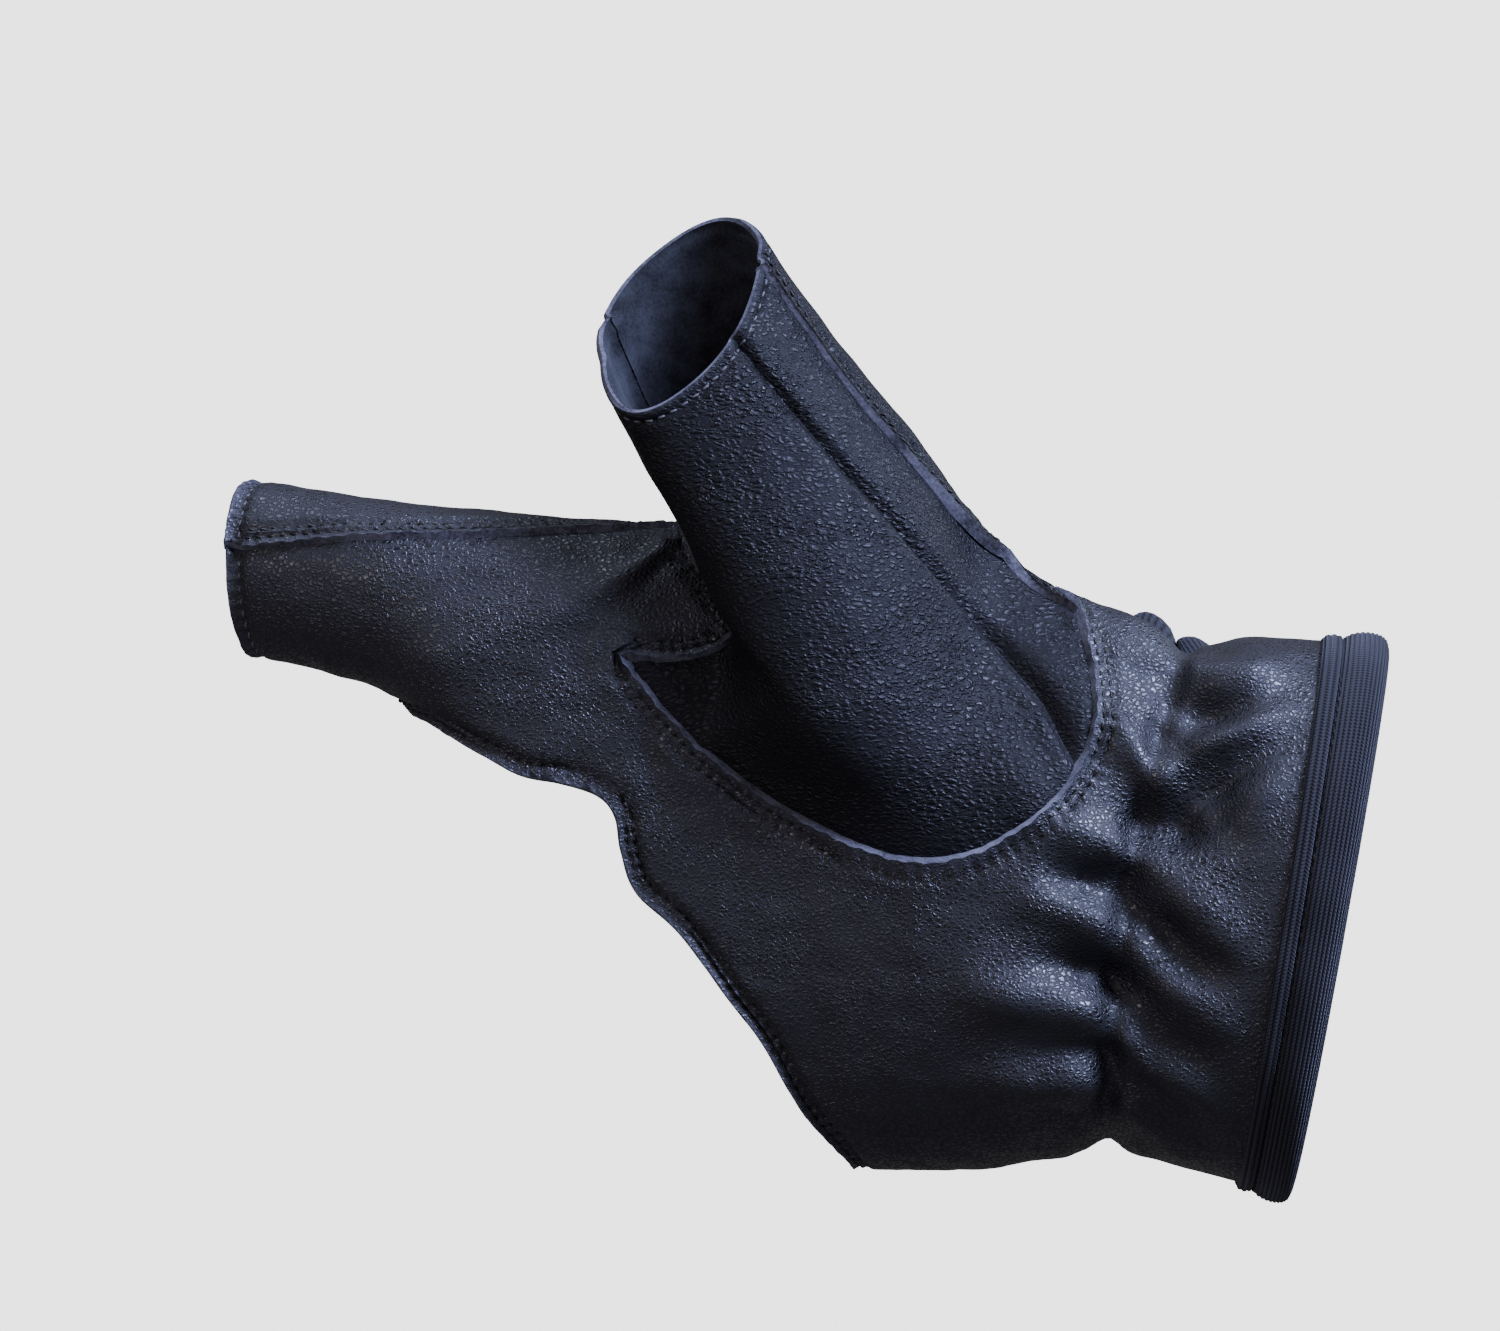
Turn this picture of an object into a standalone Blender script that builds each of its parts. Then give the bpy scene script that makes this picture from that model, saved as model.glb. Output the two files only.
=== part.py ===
# Archery glove for the right hand, as worn: thumb and index finger covered, gathered wrist, bound cuff.
# Metres, +Z up. +X runs up the forearm, -Y is the palm side, and the origin is the centre of the wrist.
import math

import bpy
from mathutils import Vector
from mathutils.geometry import delaunay_2d_cdt

# Driving dimensions
REACH = 0.100  # wrist crease to index knuckle: the tables below hold shares of it
LEATHER = 0.0012
KNIT = 0.0012
SEAM_GAP = 0.0003  # left open between two pieces that are sewn together
BINDING_WIDTH = 0.0086
BINDING_TAPE = 0.0011
CUFF_INSET = 0.0016  # the leather ends this far inside the binding's fold
HAND_MESH = 0.0062
GATHER_MESH = 0.0034
TUBE_MESH = 0.0046
THUMB_ROWS = 17
SLIVER_AREA = 1e-10  # flatter triangles along a straight edge are left out

# Rings of the sleeve, hand and index finger, from the cuff edge to the finger opening.
# Heights and depths are shares of REACH, square is the exponent of the ring, turn is in degrees.
STATION = ("top_x", "top_z", "bottom_x", "bottom_z", "mid_y", "palm", "back", "square", "turn")
STATIONS = (
    (0.412, 0.378, 0.256, -0.490, 0.000, 0.325, 0.335, 2.30, 0),
    (0.330, 0.389, 0.188, -0.479, 0.000, 0.318, 0.328, 2.30, 0),
    (0.195, 0.397, 0.080, -0.449, 0.000, 0.285, 0.300, 2.30, 0),
    (0.090, 0.386, -0.045, -0.421, 0.000, 0.245, 0.262, 2.35, 0),
    (-0.072, 0.434, -0.115, -0.437, 0.000, 0.262, 0.262, 2.35, 0),
    (-0.160, 0.466, -0.190, -0.449, 0.000, 0.278, 0.255, 2.40, 0),
    (-0.300, 0.500, -0.300, -0.456, 0.000, 0.272, 0.240, 2.40, 0),
    (-0.450, 0.530, -0.450, -0.452, 0.005, 0.240, 0.220, 2.40, 0),
    (-0.600, 0.552, -0.600, -0.425, 0.010, 0.205, 0.200, 2.40, 0),
    (-0.800, 0.578, -0.800, -0.290, 0.010, 0.175, 0.180, 2.30, 0),
    (-0.980, 0.598, -0.990, 0.000, 0.010, 0.150, 0.155, 2.20, 4),
    (-1.140, 0.611, -1.150, 0.276, 0.022, 0.128, 0.128, 2.20, 12),
    (-1.290, 0.632, -1.285, 0.340, 0.062, 0.118, 0.118, 2.20, 19),
    (-1.413, 0.651, -1.405, 0.366, 0.105, 0.112, 0.112, 2.20, 21),
)

# Folds and hollows of the gathered wrist: a ridge from one point to another, in shares of REACH.
# side is 1 on the palm, -1 on the back and 0 round both; a hollow has a negative rise.
FOLD = ("from_x", "from_z", "to_x", "to_z", "rise", "breadth", "side")
FOLDS = (
    (-0.075, 0.430, 0.092, 0.350, 0.026, 0.050, 1),
    (0.045, 0.267, 0.090, 0.246, 0.014, 0.030, 1),
    (-0.016, 0.240, 0.054, 0.152, 0.020, 0.032, 1),
    (-0.075, 0.078, 0.030, 0.037, 0.026, 0.042, 1),
    (-0.112, -0.032, -0.003, -0.086, 0.024, 0.036, 1),
    (-0.176, -0.180, -0.016, -0.204, 0.026, 0.045, 1),
    (-0.160, -0.310, -0.030, -0.298, 0.026, 0.042, 1),
    (-0.112, -0.384, -0.030, -0.354, 0.014, 0.030, 1),
    (0.112, 0.312, 0.256, 0.338, 0.018, 0.036, 1),
    (0.118, 0.206, 0.254, 0.268, 0.019, 0.031, 1),
    (0.206, 0.138, 0.304, 0.222, 0.012, 0.042, 1),
    (0.050, 0.000, 0.138, -0.072, 0.018, 0.048, 1),
    (0.018, -0.128, 0.128, -0.200, 0.016, 0.040, 1),
    (-0.006, -0.256, 0.150, -0.366, 0.018, 0.034, 1),
    (0.010, -0.348, 0.060, -0.392, 0.012, 0.030, 1),
    (0.032, 0.082, 0.118, 0.112, -0.024, 0.044, 1),
    (-0.102, 0.006, -0.018, 0.012, -0.015, 0.030, 1),
    (-0.112, -0.124, -0.038, -0.140, -0.015, 0.030, 1),
    (0.056, 0.300, 0.084, 0.286, -0.014, 0.030, 1),
    (0.014, -0.048, 0.090, -0.109, -0.015, 0.030, 1),
    (-0.010, -0.173, 0.070, -0.234, -0.015, 0.030, 1),
    (-0.034, -0.266, 0.072, -0.344, -0.015, 0.030, 1),
    (-0.030, -0.330, -0.130, -0.404, -0.014, 0.030, 1),
    (0.078, 0.136, 0.250, 0.236, -0.010, 0.030, 1),
    (0.084, 0.384, 0.112, 0.372, -0.016, 0.030, 1),
    (-0.120, 0.250, 0.020, 0.225, 0.022, 0.042, -1),
    (-0.130, 0.110, 0.015, 0.100, 0.024, 0.044, -1),
    (-0.120, -0.030, 0.005, -0.040, 0.024, 0.042, -1),
    (-0.140, -0.170, 0.000, -0.185, 0.024, 0.044, -1),
    (-0.130, -0.320, -0.010, -0.310, 0.022, 0.042, -1),
    (0.080, 0.160, 0.230, 0.200, 0.020, 0.040, -1),
    (0.060, 0.030, 0.220, 0.040, 0.020, 0.042, -1),
    (0.040, -0.110, 0.200, -0.140, 0.020, 0.042, -1),
    (0.020, -0.245, 0.170, -0.310, 0.020, 0.040, -1),
)
FOLD_STRENGTH = 1.15  # how hard the elastic works the folds
GATHER_DEPTH = 0.014  # how far the elastic draws the leather in along the gather, and over what width
GATHER_BREADTH = 0.028

# Edges and seams on the hand, as points (x, z, side) in shares of REACH.
PALM_HEM = (
    (-1.185, 0.300, -1), (-1.160, 0.286, 1), (-1.120, 0.256, 1), (-1.040, 0.208, 1), (-0.976, 0.176, 1),
    (-0.912, 0.168, 1), (-0.848, 0.147, 1), (-0.816, 0.112, 1), (-0.805, 0.056, 1), (-0.776, -0.008, 1),
    (-0.704, -0.072, 1), (-0.624, -0.184, 1), (-0.576, -0.248, 1), (-0.528, -0.344, 1), (-0.459, -0.436, 1),
)
BACK_HEM = (
    (-1.100, 0.270, -1), (-1.020, 0.235, -1), (-0.930, 0.215, -1), (-0.850, 0.190, -1),
    (-0.780, 0.120, -1), (-0.735, 0.020, -1), (-0.660, -0.060, -1), (-0.580, -0.170, -1),
    (-0.520, -0.270, -1), (-0.455, -0.390, -1),
)
INDEX_SEAM = (
    (-1.457, 0.543, 1), (-1.410, 0.538, 1), (-1.330, 0.545, 1), (-1.168, 0.555, 1), (-1.010, 0.559, 1),
    (-0.850, 0.565, 1), (-0.770, 0.568, 1),
)
# Where the thumb joins the hand, from its wrist side under the palm to the web beside the index finger.
LOOP_UNDER = (
    (-0.072, 0.360, 1), (-0.064, 0.296, 1), (-0.072, 0.232, 1), (-0.104, 0.168, 1), (-0.160, 0.112, 1),
    (-0.240, 0.064, 1), (-0.320, 0.045, 1), (-0.400, 0.056, 1), (-0.496, 0.096, 1), (-0.592, 0.152, 1),
    (-0.688, 0.224, 1),
)
LEAF_LOWER = ((-0.752, 0.293, 1), (-0.808, 0.363, 1))
LEAF_UPPER = ((-0.752, 0.360, 1), (-0.704, 0.363, 1), (-0.656, 0.376, 1))
LOOP_CROSS = ((-0.664, 0.335, 1), (-0.680, 0.272, 1))
LOOP_WEB = (
    (-0.627, 0.400, 1), (-0.619, 0.422, 1), (-0.640, 0.448, 1), (-0.672, 0.499, 1), (-0.700, 0.540, 1),
    (-0.706, 0.545, -1), (-0.650, 0.490, -1), (-0.540, 0.430, -1), (-0.420, 0.405, -1), (-0.300, 0.400, -1),
    (-0.200, 0.420, -1), (-0.152, 0.450, -1), (-0.124, 0.447, 1), (-0.096, 0.416, 1),
)
# Rings of the thumb, from its opening to the hand: left, front, right and back, each as x, z, y.
THUMB_RING = ("left", "front", "right", "back")
THUMB_RINGS = (
    ((-0.850, 0.838, -0.150), (-0.712, 0.792, -0.262), (-0.590, 1.036, -0.120), (-0.752, 1.020, -0.010)),
    ((-0.786, 0.716, -0.138), (-0.645, 0.690, -0.270), (-0.513, 0.930, -0.110), (-0.690, 0.880, 0.012)),
    ((-0.738, 0.640, -0.128), (-0.570, 0.560, -0.288), (-0.432, 0.824, -0.096), (-0.610, 0.760, 0.040)),
    ((-0.704, 0.570, -0.136), (-0.484, 0.400, -0.306), (-0.342, 0.718, -0.084), (-0.530, 0.650, 0.074)),
    ((-0.672, 0.514, -0.150), (-0.400, 0.226, -0.302), (-0.236, 0.566, -0.070), (-0.440, 0.540, 0.112)),
)
THUMB_SQUARE = 2.25
CREASE = (
    (-0.640, 0.883), (-0.624, 0.864), (-0.592, 0.821), (-0.528, 0.747), (-0.448, 0.656), (-0.368, 0.568),
    (-0.288, 0.472), (-0.208, 0.376), (-0.144, 0.296), (-0.104, 0.219),
)
THUMB_BACK_SEAM = (15, 16, 15, 11, 3, -12)  # degrees round the thumb at each ring
THUMB_HIDDEN_SEAM = 214
UNDER_SEAM = -110  # degrees round the index finger, out of sight
PINKY_SEAM = -98
WRIST_SEAM = 99
GUSSET = (-0.050, 0.165, 150)  # ends in shares of REACH, and how far round it goes in degrees
# The knit gusset's puffs: along, degrees round, rise, breadth
PUFFS = ((0.016, 113, 0.056, 0.034), (0.104, 112, 0.046, 0.030), (0.060, 130, 0.020, 0.036))


def catmull(a, b, c, d, f):
    return (
        b * (1 - f * f * (3 - 2 * f)) + c * (f * f * (3 - 2 * f))
        + (c - a) * (0.5 * (f ** 3 - 2 * f * f + f)) + (d - b) * (0.5 * (f ** 3 - f * f))
    )


def along_rows(rows, s):
    """Every column of a table at s rows from its start, smoothly between its rows."""
    last = len(rows) - 1
    s = min(max(s, -0.3), last)
    i = min(max(int(math.floor(s)), 0), last - 1)
    near = [rows[min(max(i + k, 0), last)] for k in (-1, 0, 1, 2)]
    if s < 0:
        return [b + (c - b) * s for b, c in zip(rows[0], rows[1])]
    return [catmull(a, b, c, d, s - i) for a, b, c, d in zip(*near)]


def power(value, exponent):
    return math.copysign(abs(value) ** exponent, value)


def station(s):
    r = dict(zip(STATION, along_rows(STATIONS, s)))
    top = Vector((r["top_x"], r["mid_y"], r["top_z"])) * REACH
    bottom = Vector((r["bottom_x"], r["mid_y"], r["bottom_z"])) * REACH
    turn = math.radians(r["turn"])
    palm = Vector((-math.sin(turn), -math.cos(turn), 0)) * REACH
    return top, bottom, palm, r


def bare(s, phi):
    """The hand's surface before the folds: phi is 0 at the palm, 90 at the thumb side, 180 at the back."""
    top, bottom, palm, r = station(s)
    a = math.radians(phi)
    e = 2 / r["square"]
    depth = power(math.cos(a), e) * (r["palm"] if math.cos(a) > 0 else r["back"])
    return (top + bottom) / 2 + (top - bottom) / 2 * power(math.sin(a), e) + palm * depth


def bare_normal(s, phi):
    du = bare(s + 0.01, phi) - bare(s - 0.01, phi)
    dv = bare(s, phi + 0.5) - bare(s, phi - 0.5)
    n = dv.cross(du)
    return n.normalized()


def gather_x(z):
    return -0.012 + 0.16 * z + 0.25 * z * z


def fold_rise(x, z, facing):
    """The folds' height at x, z, all in shares of REACH; facing is 1 at the palm, -1 at the back."""
    near = abs(x - gather_x(z))
    total = -GATHER_DEPTH * math.exp(-((near / GATHER_BREADTH) ** 2))
    for row in FOLDS:
        f = dict(zip(FOLD, row))
        ex, ez = f["to_x"] - f["from_x"], f["to_z"] - f["from_z"]
        length = math.hypot(ex, ez)
        px, pz = x - f["from_x"], z - f["from_z"]
        t = min(max((px * ex + pz * ez) / length ** 2, 0), 1)
        away = math.hypot(px - t * ex, pz - t * ez)
        shown = 1 if f["side"] == 0 else min(max(0.5 + 1.6 * facing * f["side"], 0), 1)
        total += FOLD_STRENGTH * f["rise"] * shown * math.exp(-((away / f["breadth"]) ** 2))
    return total


def held_flat(s):
    """0 where the binding grips the leather, 1 where the folds are free."""
    f = min(max((s - 1.2) / 0.7, 0), 1)
    return f * f * (3 - 2 * f)


def skin(s, phi):
    p = bare(s, phi)
    x, z = p.x / REACH, p.z / REACH
    if abs(x) > 0.45:
        return p
    rise = fold_rise(x, z, math.cos(math.radians(phi))) * held_flat(s)
    return p + bare_normal(s, phi) * (rise * REACH)


def skin_normal(s, phi):
    along = skin(s + 0.04, phi) - skin(s - 0.04, phi)
    return (skin(s, phi + 2) - skin(s, phi - 2)).cross(along).normalized()


def find(x, z, side):
    """(s, phi) of the point of the hand's surface at x, z in shares of REACH, on the palm or the back."""
    x, z = x * REACH, z * REACH
    shift, last = 0.0, len(STATIONS) - 1
    for _ in range(8):
        low, high = -0.3, last
        for _ in range(26):
            s = (low + high) / 2
            top, bottom, palm, r = station(s)
            left = (top.x - bottom.x) * (z - bottom.z) - (top.z - bottom.z) * (x - shift - bottom.x)
            low, high = (s, high) if left > 0 else (low, s)
        e = 2 / r["square"]
        share = (z - (top.z + bottom.z) / 2) / ((top.z - bottom.z) / 2)
        share = min(max(share, -1), 1)
        a = math.asin(power(share, 1 / e))
        depth = math.cos(a) ** e * (r["palm"] if side > 0 else -r["back"])
        shift = palm.x * depth
    phi = math.degrees(a) if side > 0 else 180 - math.degrees(a)
    return s, phi


# The surface laid flat: u along the arm, v round it, both near enough in metres.
STEPS = 20
ROWS = [i / STEPS for i in range((len(STATIONS) - 1) * STEPS + 1)]
MIDDLES = [(station(s)[0] + station(s)[1]) / 2 for s in ROWS]
TRAVEL = [0.0]
for one, two in zip(MIDDLES, MIDDLES[1:]):
    TRAVEL.append(TRAVEL[-1] + abs(two.x - one.x) + 1e-6)


def radius(s):
    top, bottom, palm, r = station(s)
    return math.hypot((top - bottom).length / 2, (r["palm"] + r["back"]) / 2 * REACH) / math.sqrt(2)


def flat(point):
    s, phi = point
    i = min(max(int(s * STEPS), 0), len(TRAVEL) - 2)
    return TRAVEL[i] + (s * STEPS - i) * (TRAVEL[i + 1] - TRAVEL[i]), math.radians(phi - 90) * radius(s)


def unflat(u, v):
    low, high = 0, len(TRAVEL) - 1
    while high - low > 1:
        mid = (low + high) // 2
        low, high = (mid, high) if TRAVEL[mid] < u else (low, mid)
    s = (low + (u - TRAVEL[low]) / (TRAVEL[low + 1] - TRAVEL[low])) / STEPS
    return s, 90 + math.degrees(v / radius(s))


def curve(points, step):
    """A smooth line through (s, phi) points, laid flat, in pieces of about one step."""
    laid = [Vector(flat(p)) for p in points]
    ends = [laid[0] * 2 - laid[1]] + laid + [laid[-1] * 2 - laid[-2]]
    out = []
    for a, b, c, d in zip(ends, ends[1:], ends[2:], ends[3:]):
        pieces = max(1, round((c - b).length / step))
        for k in range(pieces):
            out.append(unflat(*catmull(a, b, c, d, k / pieces)))
    return out + [points[-1]]


def on_hand(rows):
    return [find(*row) for row in rows]


def arm_line(phi, start, end, step):
    """A line along the arm at phi, from one s to another."""
    length = abs(flat((end, phi))[0] - flat((start, phi))[0])
    pieces = max(1, round(length / step))
    return [(start + (end - start) * k / pieces, float(phi)) for k in range(pieces + 1)]


def straight(start, end, step):
    a, b = Vector(flat(start)), Vector(flat(end))
    pieces = max(1, round((b - a).length / step))
    return [unflat(*(a + (b - a) * (k / pieces))) for k in range(pieces)] + [end]


def ring_line(s, start, end, step):
    pieces = max(2, round(abs(math.radians(end - start)) * radius(s) / step))
    return [(s, start + (end - start) * k / pieces) for k in range(pieces + 1)]


def joined(*lines):
    out = []
    for one in lines:
        for p in one:
            if not out or math.dist(flat(out[-1]), flat(p)) > 2e-4:
                out.append(p)
    if math.dist(flat(out[0]), flat(out[-1])) < 2e-4:
        out.pop()
    return out


def inside(p, outline):
    found = False
    for a, b in zip(outline, outline[1:] + outline[:1]):
        if (a[1] > p[1]) == (b[1] > p[1]):
            continue
        if p[0] < a[0] + (b[0] - a[0]) * (p[1] - a[1]) / (b[1] - a[1]):
            found = not found
    return found


def edge_distance(p, outline):
    best = 1.0
    for a, b in zip(outline, outline[1:] + outline[:1]):
        ex, ey = b[0] - a[0], b[1] - a[1]
        t = min(max(((p[0] - a[0]) * ex + (p[1] - a[1]) * ey) / (ex * ex + ey * ey), 0), 1)
        best = min(best, math.hypot(p[0] - a[0] - t * ex, p[1] - a[1] - t * ey))
    return best


def mesh_size(u):
    """How far apart the points are at u: close over the gather, wider over the hand."""
    gather = flat((3.4, 90))[0]
    tube = flat((10.6, 90))[0]
    if u > tube:
        return TUBE_MESH
    close = math.exp(-(((u - gather) / 0.026) ** 4))
    return HAND_MESH + (GATHER_MESH - HAND_MESH) * close


def filled(outline):
    """Points (s, phi) and triangles that fill an outline of (s, phi) points."""
    laid = [flat(p) for p in outline]
    points = list(laid)
    u, top = min(p[0] for p in laid), max(p[0] for p in laid)
    row = 0
    while u < top:
        size = mesh_size(u)
        v = min(p[1] for p in laid) + (size / 2 if row % 2 else 0)
        while v < max(p[1] for p in laid):
            if inside((u, v), laid) and edge_distance((u, v), laid) > 0.5 * size:
                points.append((u, v))
            v += size
        u += size * 0.87
        row += 1
    edges = [(i, (i + 1) % len(laid)) for i in range(len(laid))]
    verts, _, faces, _, _, _ = delaunay_2d_cdt([Vector(p) for p in points], edges, [], 0, 1e-7)
    kept = []
    for face in faces:
        a, b, c = (verts[i] for i in face)
        centre = (a + b + c) / 3
        if inside(centre, laid) and abs((b - a).cross(c - a)) > SLIVER_AREA:
            kept.append(tuple(face))
    return [unflat(*v) for v in verts], kept


def welded(patches):
    """Patches of (points, triangles) as one, with points that meet made the same."""
    points, faces, seen = [], [], {}
    for some, triangles in patches:
        index = []
        for p in some:
            key = tuple(round(c * 1e6) for c in p)
            if key not in seen:
                seen[key] = len(points)
                points.append(p)
            index.append(seen[key])
        for tri in triangles:
            t = tuple(index[i] for i in tri)
            if len(set(t)) == 3:
                faces.append(t)
    return points, faces


def boundary(faces):
    edges = {(f[i], f[(i + 1) % 3]) for f in faces for i in range(3)}
    return [(a, b) for a, b in edges if (b, a) not in edges]


def vertex_normals(points, faces):
    normals = [Vector((0, 0, 0)) for _ in points]
    for a, b, c in faces:
        n = (points[b] - points[a]).cross(points[c] - points[a])
        for i in (a, b, c):
            normals[i] += n
    return [n.normalized() for n in normals]


def facing_out(points, faces, middle):
    """The triangles turned so that they face away from middle(point)."""
    total = 0.0
    for a, b, c in faces:
        n = (points[b] - points[a]).cross(points[c] - points[a])
        total += n.dot(points[a] - middle(points[a]))
    return faces if total > 0 else [(a, c, b) for a, b, c in faces]


def solid(name, points, faces, thickness, colour, roughness, edge_normals):
    """A closed panel: the surface, the same surface one thickness in, and the cut edge between."""
    normals = vertex_normals(points, faces)
    rim = boundary(faces)
    for a, _ in rim:
        normals[a] = edge_normals[tuple(points[a])]
    inward = [Vector((0, 0, 0)) for _ in points]
    for a, b in rim:
        along = (points[b] - points[a]).normalized()
        for i in (a, b):
            inward[i] += normals[i].cross(along)
    outer = []
    for p, d in zip(points, inward):
        outer.append(p + d.normalized() * (SEAM_GAP / 2) if d.length > 0.1 else p)
    inner = [p - n * thickness for p, n in zip(outer, normals)]
    count = len(points)
    shapes = list(faces)
    shapes += [(c + count, b + count, a + count) for a, b, c in faces]
    shapes += [(b, a, a + count, b + count) for a, b in rim]
    return make(name, outer + inner, shapes, colour, roughness, len(rim))


def make(name, points, shapes, colour, roughness, flat_faces=0):
    mesh = bpy.data.meshes.new(name)
    mesh.from_pydata([tuple(p) for p in points], [], shapes)
    for i, polygon in enumerate(mesh.polygons):
        polygon.use_smooth = i < len(shapes) - flat_faces
    mesh.update()
    obj = bpy.data.objects.new(name, mesh)
    bpy.context.scene.collection.objects.link(obj)
    material = bpy.data.materials.new(name)
    material.use_nodes = True
    shader = material.node_tree.nodes["Principled BSDF"]
    shader.inputs["Base Color"].default_value = (*colour, 1)
    shader.inputs["Roughness"].default_value = roughness
    mesh.materials.append(material)
    return obj


def hand_middle(p):
    s = find(p.x / REACH, p.z / REACH, 1)[0]
    top, bottom, _, _ = station(s)
    return (top + bottom) / 2


def thumb_middle(p):
    best, where = 1.0, None
    for ring in THUMB_RINGS:
        centre = sum((Vector((x, y, z)) for x, z, y in ring), Vector((0, 0, 0))) * (REACH / 4)
        if (centre - p).length < best:
            best, where = (centre - p).length, centre
    return where


# The line where the thumb joins the hand, once round: wrist side, under, across, web, back.
FINE = 0.0008
loop_under = curve(on_hand(LOOP_UNDER), FINE)
loop_cross = curve([loop_under[-1]] + on_hand(reversed(LOOP_CROSS)) + [find(*LEAF_UPPER[-1])], FINE)
loop_web = curve([loop_cross[-1]] + on_hand(LOOP_WEB) + [loop_under[0]], FINE)
LOOP = joined(loop_under, loop_cross, loop_web)
LOOP_POINTS = [bare(*p) for p in LOOP]
LOOP_CENTRE = sum(LOOP_POINTS, Vector((0, 0, 0))) / len(LOOP_POINTS)
LOOP_TRAVEL = [0.0]
for one, two in zip(LOOP_POINTS, LOOP_POINTS[1:] + LOOP_POINTS[:1]):
    LOOP_TRAVEL.append(LOOP_TRAVEL[-1] + (two - one).length)


def nearest(row):
    p = bare(*find(*row))
    return min(range(len(LOOP)), key=lambda i: (LOOP_POINTS[i] - p).length)


LOOP_MARKS = [
    (0, 0.0), (90, LOOP_TRAVEL[nearest(LOOP_UNDER[6])]), (180, LOOP_TRAVEL[nearest(LOOP_WEB[3])]),
    (270, LOOP_TRAVEL[nearest(LOOP_WEB[8])]), (360, LOOP_TRAVEL[-1]),
]


def loop_travel(theta):
    theta %= 360
    for (a, one), (b, two) in zip(LOOP_MARKS, LOOP_MARKS[1:]):
        if theta <= b:
            return one + (two - one) * (theta - a) / (b - a)


def loop_angle(travel):
    for (a, one), (b, two) in zip(LOOP_MARKS, LOOP_MARKS[1:]):
        if travel <= two + 1e-9:
            return a + (b - a) * (travel - one) / (two - one)


def loop_at(theta):
    """(s, phi) where the loop is at theta degrees round the thumb."""
    t = loop_travel(theta)
    low, high = 0, len(LOOP)
    while high - low > 1:
        mid = (low + high) // 2
        low, high = (mid, high) if LOOP_TRAVEL[mid] <= t else (low, mid)
    f = (t - LOOP_TRAVEL[low]) / (LOOP_TRAVEL[low + 1] - LOOP_TRAVEL[low])
    a, b = Vector(flat(LOOP[low])), Vector(flat(LOOP[(low + 1) % len(LOOP)]))
    return unflat(*(a + (b - a) * f))


def thumb_ring(i, theta):
    left, front, right, back = (Vector((x, y, z)) * REACH for x, z, y in THUMB_RINGS[i])
    a = math.radians(theta)
    e = 2 / THUMB_SQUARE
    centre = (left + right) / 2
    depth = front if math.sin(a) > 0 else back
    across = (right - left) / 2 * power(math.cos(a), e)
    return centre + across + (depth - centre) * abs(math.sin(a)) ** e


def thumb(t, theta):
    """The thumb's surface: t is 0 at its opening and 5 at the hand, theta runs round it in degrees."""
    knots = [thumb_ring(i, theta) for i in range(5)]
    seat = loop_at(theta)
    knots.append(skin(*seat))
    last = knots[5] - knots[4]
    normal = bare_normal(*seat)
    inward = LOOP_CENTRE - knots[5]
    inward -= normal * inward.dot(normal)
    lying = min(max(-1.5 * last.dot(inward) / (last.length * inward.length), 0), 1)
    flatter = last - normal * (last.dot(normal) * 0.85 * lying)
    slopes = [knots[1] - knots[0]]
    slopes += [(knots[i + 1] - knots[i - 1]) / 2 for i in range(1, 5)]
    slopes.append(flatter.normalized() * last.length if flatter.length > 1e-6 else last)
    i = min(int(t), 4)
    f = t - i
    g = f * f * (3 - 2 * f)
    return (
        knots[i] * (1 - g) + knots[i + 1] * g
        + slopes[i] * (f ** 3 - 2 * f * f + f) + slopes[i + 1] * (f ** 3 - f * f)
    )


def crease_side(p):
    """Above 0 on the front's side of the crease, below 0 on the strip's side."""
    best, side = 9.0, 0.0
    x, z = p.x / REACH, p.z / REACH
    for a, b in zip(CREASE, CREASE[1:]):
        ex, ez = b[0] - a[0], b[1] - a[1]
        t = ((x - a[0]) * ex + (z - a[1]) * ez) / (ex * ex + ez * ez)
        t = min(max(t, 0), 1)
        away = math.hypot(x - a[0] - t * ex, z - a[1] - t * ez)
        if away < best:
            best, side = away, ex * (z - a[1]) - ez * (x - a[0])
    return -side


def crease_angle(t):
    low, high = 4.0, 86.0
    for _ in range(22):
        mid = (low + high) / 2
        low, high = (low, mid) if crease_side(thumb(t, mid)) > 0 else (mid, high)
    return (low + high) / 2


def thumb_normal(t, theta):
    if t > 4.9:
        return skin_normal(*loop_at(theta))
    down = thumb(min(t + 0.06, 5), theta) - thumb(max(t - 0.06, 0), theta)
    return (thumb(t, theta + 2) - thumb(t, theta - 2)).cross(down).normalized()


def back_seam_angle(t):
    i = min(int(t), 4)
    row = [THUMB_BACK_SEAM[min(max(i + k, 0), 5)] for k in (-1, 0, 1, 2)]
    return catmull(*row, t - i)


def span_angles(spans, t):
    """The angles of a thumb panel's columns at t; spans holds (angle at t, columns to the next)."""
    marks = [at(t) for at, _ in spans]
    out = []
    for a, b, n in zip(marks, marks[1:], [n for _, n in spans]):
        out += [a + (b - a) * k / n for k in range(n)]
    return out + [marks[-1]]


def thumb_grid(spans):
    """A grid of the thumb between angles that may change along it, and the normals at its points."""
    points, normals, faces = [], {}, []
    ts = [5 * (k / THUMB_ROWS) ** 0.92 for k in range(THUMB_ROWS + 1)]
    for t in ts:
        for theta in span_angles(spans, t):
            p = thumb(t, theta)
            points.append(p)
            normals[tuple(p)] = thumb_normal(t, theta)
    width = sum(n for _, n in spans[:-1]) + 1
    for r in range(len(ts) - 1):
        for c in range(width - 1):
            a, b = r * width + c, r * width + c + 1
            d, e = a + width, b + width
            if (r + c) % 2:
                faces += [(a, b, e), (a, e, d)]
            else:
                faces += [(a, b, d), (b, e, d)]
    return points, faces, normals


for old in list(bpy.data.objects):
    bpy.data.objects.remove(old)

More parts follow.
